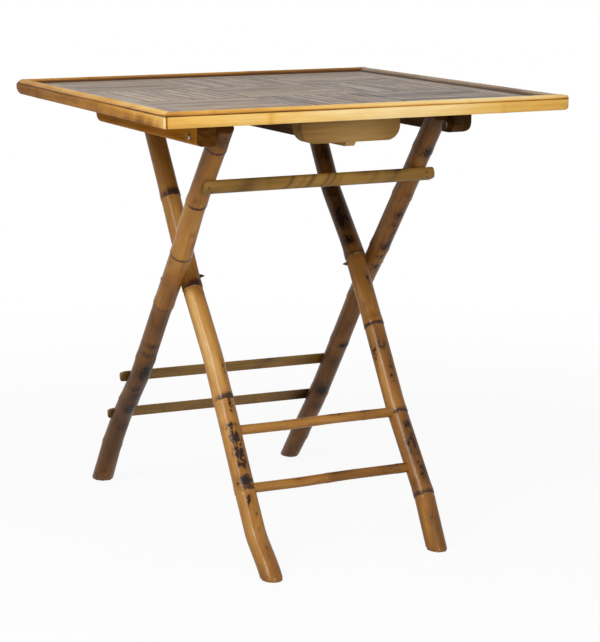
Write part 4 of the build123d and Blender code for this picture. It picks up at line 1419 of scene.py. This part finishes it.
# %% [markdown]
# ## Small fasteners
# The other nails, the brads, the screws and the washers are already right in the frame, so they stay and
# only get a finish.

# %% Finish the fasteners
FASTENERS = {
    "rim_brads": nail_steel, "batten_nails": nail_steel, "tenon_nails": nail_steel,
    "cleat_screws": nail_steel, "underframe_screws": nail_steel, "hinge_washers": washer_steel,
}
for node, material in FASTENERS.items():
    mesh = frame["nodes"][node].data
    mesh.materials.clear()
    mesh.materials.append(material)
print("fasteners:", sorted(FASTENERS))

# %% [markdown]
# ## The floor
# The photograph has a plain white ground. The floor is pale, and to the camera and to reflections it glows,
# so that it stays near white while a faint shadow still shows.

# %% Floor
FLOOR_SIZE = 40
FLOOR_DROP = 0.2 * MM
FLOOR_GREY = (0.8, 0.8, 0.8, 1)
FLOOR_ROUGHNESS = 0.9
FLOOR_GLOW = 0.92
GLOW_ALONE = (0.5, 2.0)
WHITE = (1, 1, 1, 1)


def seen_directly(tree):
    """One for what the camera sees, also in a mirror or through glass, and zero for the light itself."""
    path = add(tree, "LightPath")
    seen = math_node(tree, "MAXIMUM", path.outputs["Is Camera Ray"], path.outputs["Is Glossy Ray"])
    return math_node(tree, "MAXIMUM", seen, path.outputs["Is Transmission Ray"])


floor_mesh = bpy.data.meshes.new("floor")
bm = bmesh.new()
sunk = Matrix.Translation((0, 0, -FLOOR_DROP))
bmesh.ops.create_grid(bm, x_segments=1, y_segments=1, size=FLOOR_SIZE, matrix=sunk)
bm.to_mesh(floor_mesh)
bm.free()
floor = bpy.data.objects.new("floor", floor_mesh)
bpy.context.scene.collection.objects.link(floor)
floor_paint, tree, shader = start_material("pale_floor")
shader.inputs["Base Color"].default_value = FLOOR_GREY
shader.inputs["Roughness"].default_value = FLOOR_ROUGHNESS
glow = add(tree, "Emission", {"Color": WHITE, "Strength": 1})
place = add(tree, "TexCoord").outputs["Object"]
away = add(tree, "VectorMath", {0: place}, operation="LENGTH").outputs["Value"]
share = math_node(tree, "MULTIPLY", seen_directly(tree), level(tree, away, *GLOW_ALONE, FLOOR_GLOW, 1))
blend = add(tree, "MixShader", {0: share, 1: shader.outputs["BSDF"], 2: glow.outputs["Emission"]})
tree.links.new(blend.outputs["Shader"], tree.nodes["Material Output"].inputs["Surface"])
floor_mesh.materials.append(floor_paint)
print("floor at", round(floor_mesh.vertices[0].co.z / MM, 2), "mm")

# %% [markdown]
# ## The light
# The varnish of the canes shows two soft lights, one high at the left and one in front, so that is where
# the lamps stand. A weak lamp overhead and a weak one behind keep the back of the table readable; the one
# behind gives no glare. The world lights the table only a little, but the camera sees it white.

# %% Lamps and world
AMBIENT = 0.14
BACKDROP_GLOW = 1
LAMP_AIM = Vector((0, 0, 0.45))
# Place, width and power of each square lamp
LAMPS = {
    "key": ((-1.85, -1.05, 2.0), 1.1, 48),
    "front": ((-0.2, -2.95, 1.25), 1.0, 39),
    "top": ((0.1, -0.3, 2.8), 1.6, 7),
    "back": ((0.4, 2.8, 1.5), 1.4, 14),
}
for name, (place, width, power) in LAMPS.items():
    lamp = bpy.data.objects.new(name, bpy.data.lights.new(name, "AREA"))
    lamp.data.shape = "SQUARE"
    lamp.data.size = width
    lamp.data.energy = power
    lamp.location = place
    lamp.rotation_mode = "QUATERNION"
    lamp.rotation_quaternion = (Vector(place) - LAMP_AIM).to_track_quat("Z", "Y")
    lamp.visible_camera = False
    lamp.visible_glossy = name != "back"
    bpy.context.scene.collection.objects.link(lamp)
world = bpy.data.worlds.new("studio")
bpy.context.scene.world = world
world.use_nodes = True
backdrop = world.node_tree.nodes["Background"]
backdrop.inputs["Color"].default_value = WHITE
strength = level(world.node_tree, seen_directly(world.node_tree), 0, 1, AMBIENT, BACKDROP_GLOW)
world.node_tree.links.new(strength, backdrop.inputs["Strength"])
bpy.context.scene.view_settings.view_transform = "Standard"
print("lamps:", sorted(LAMPS))
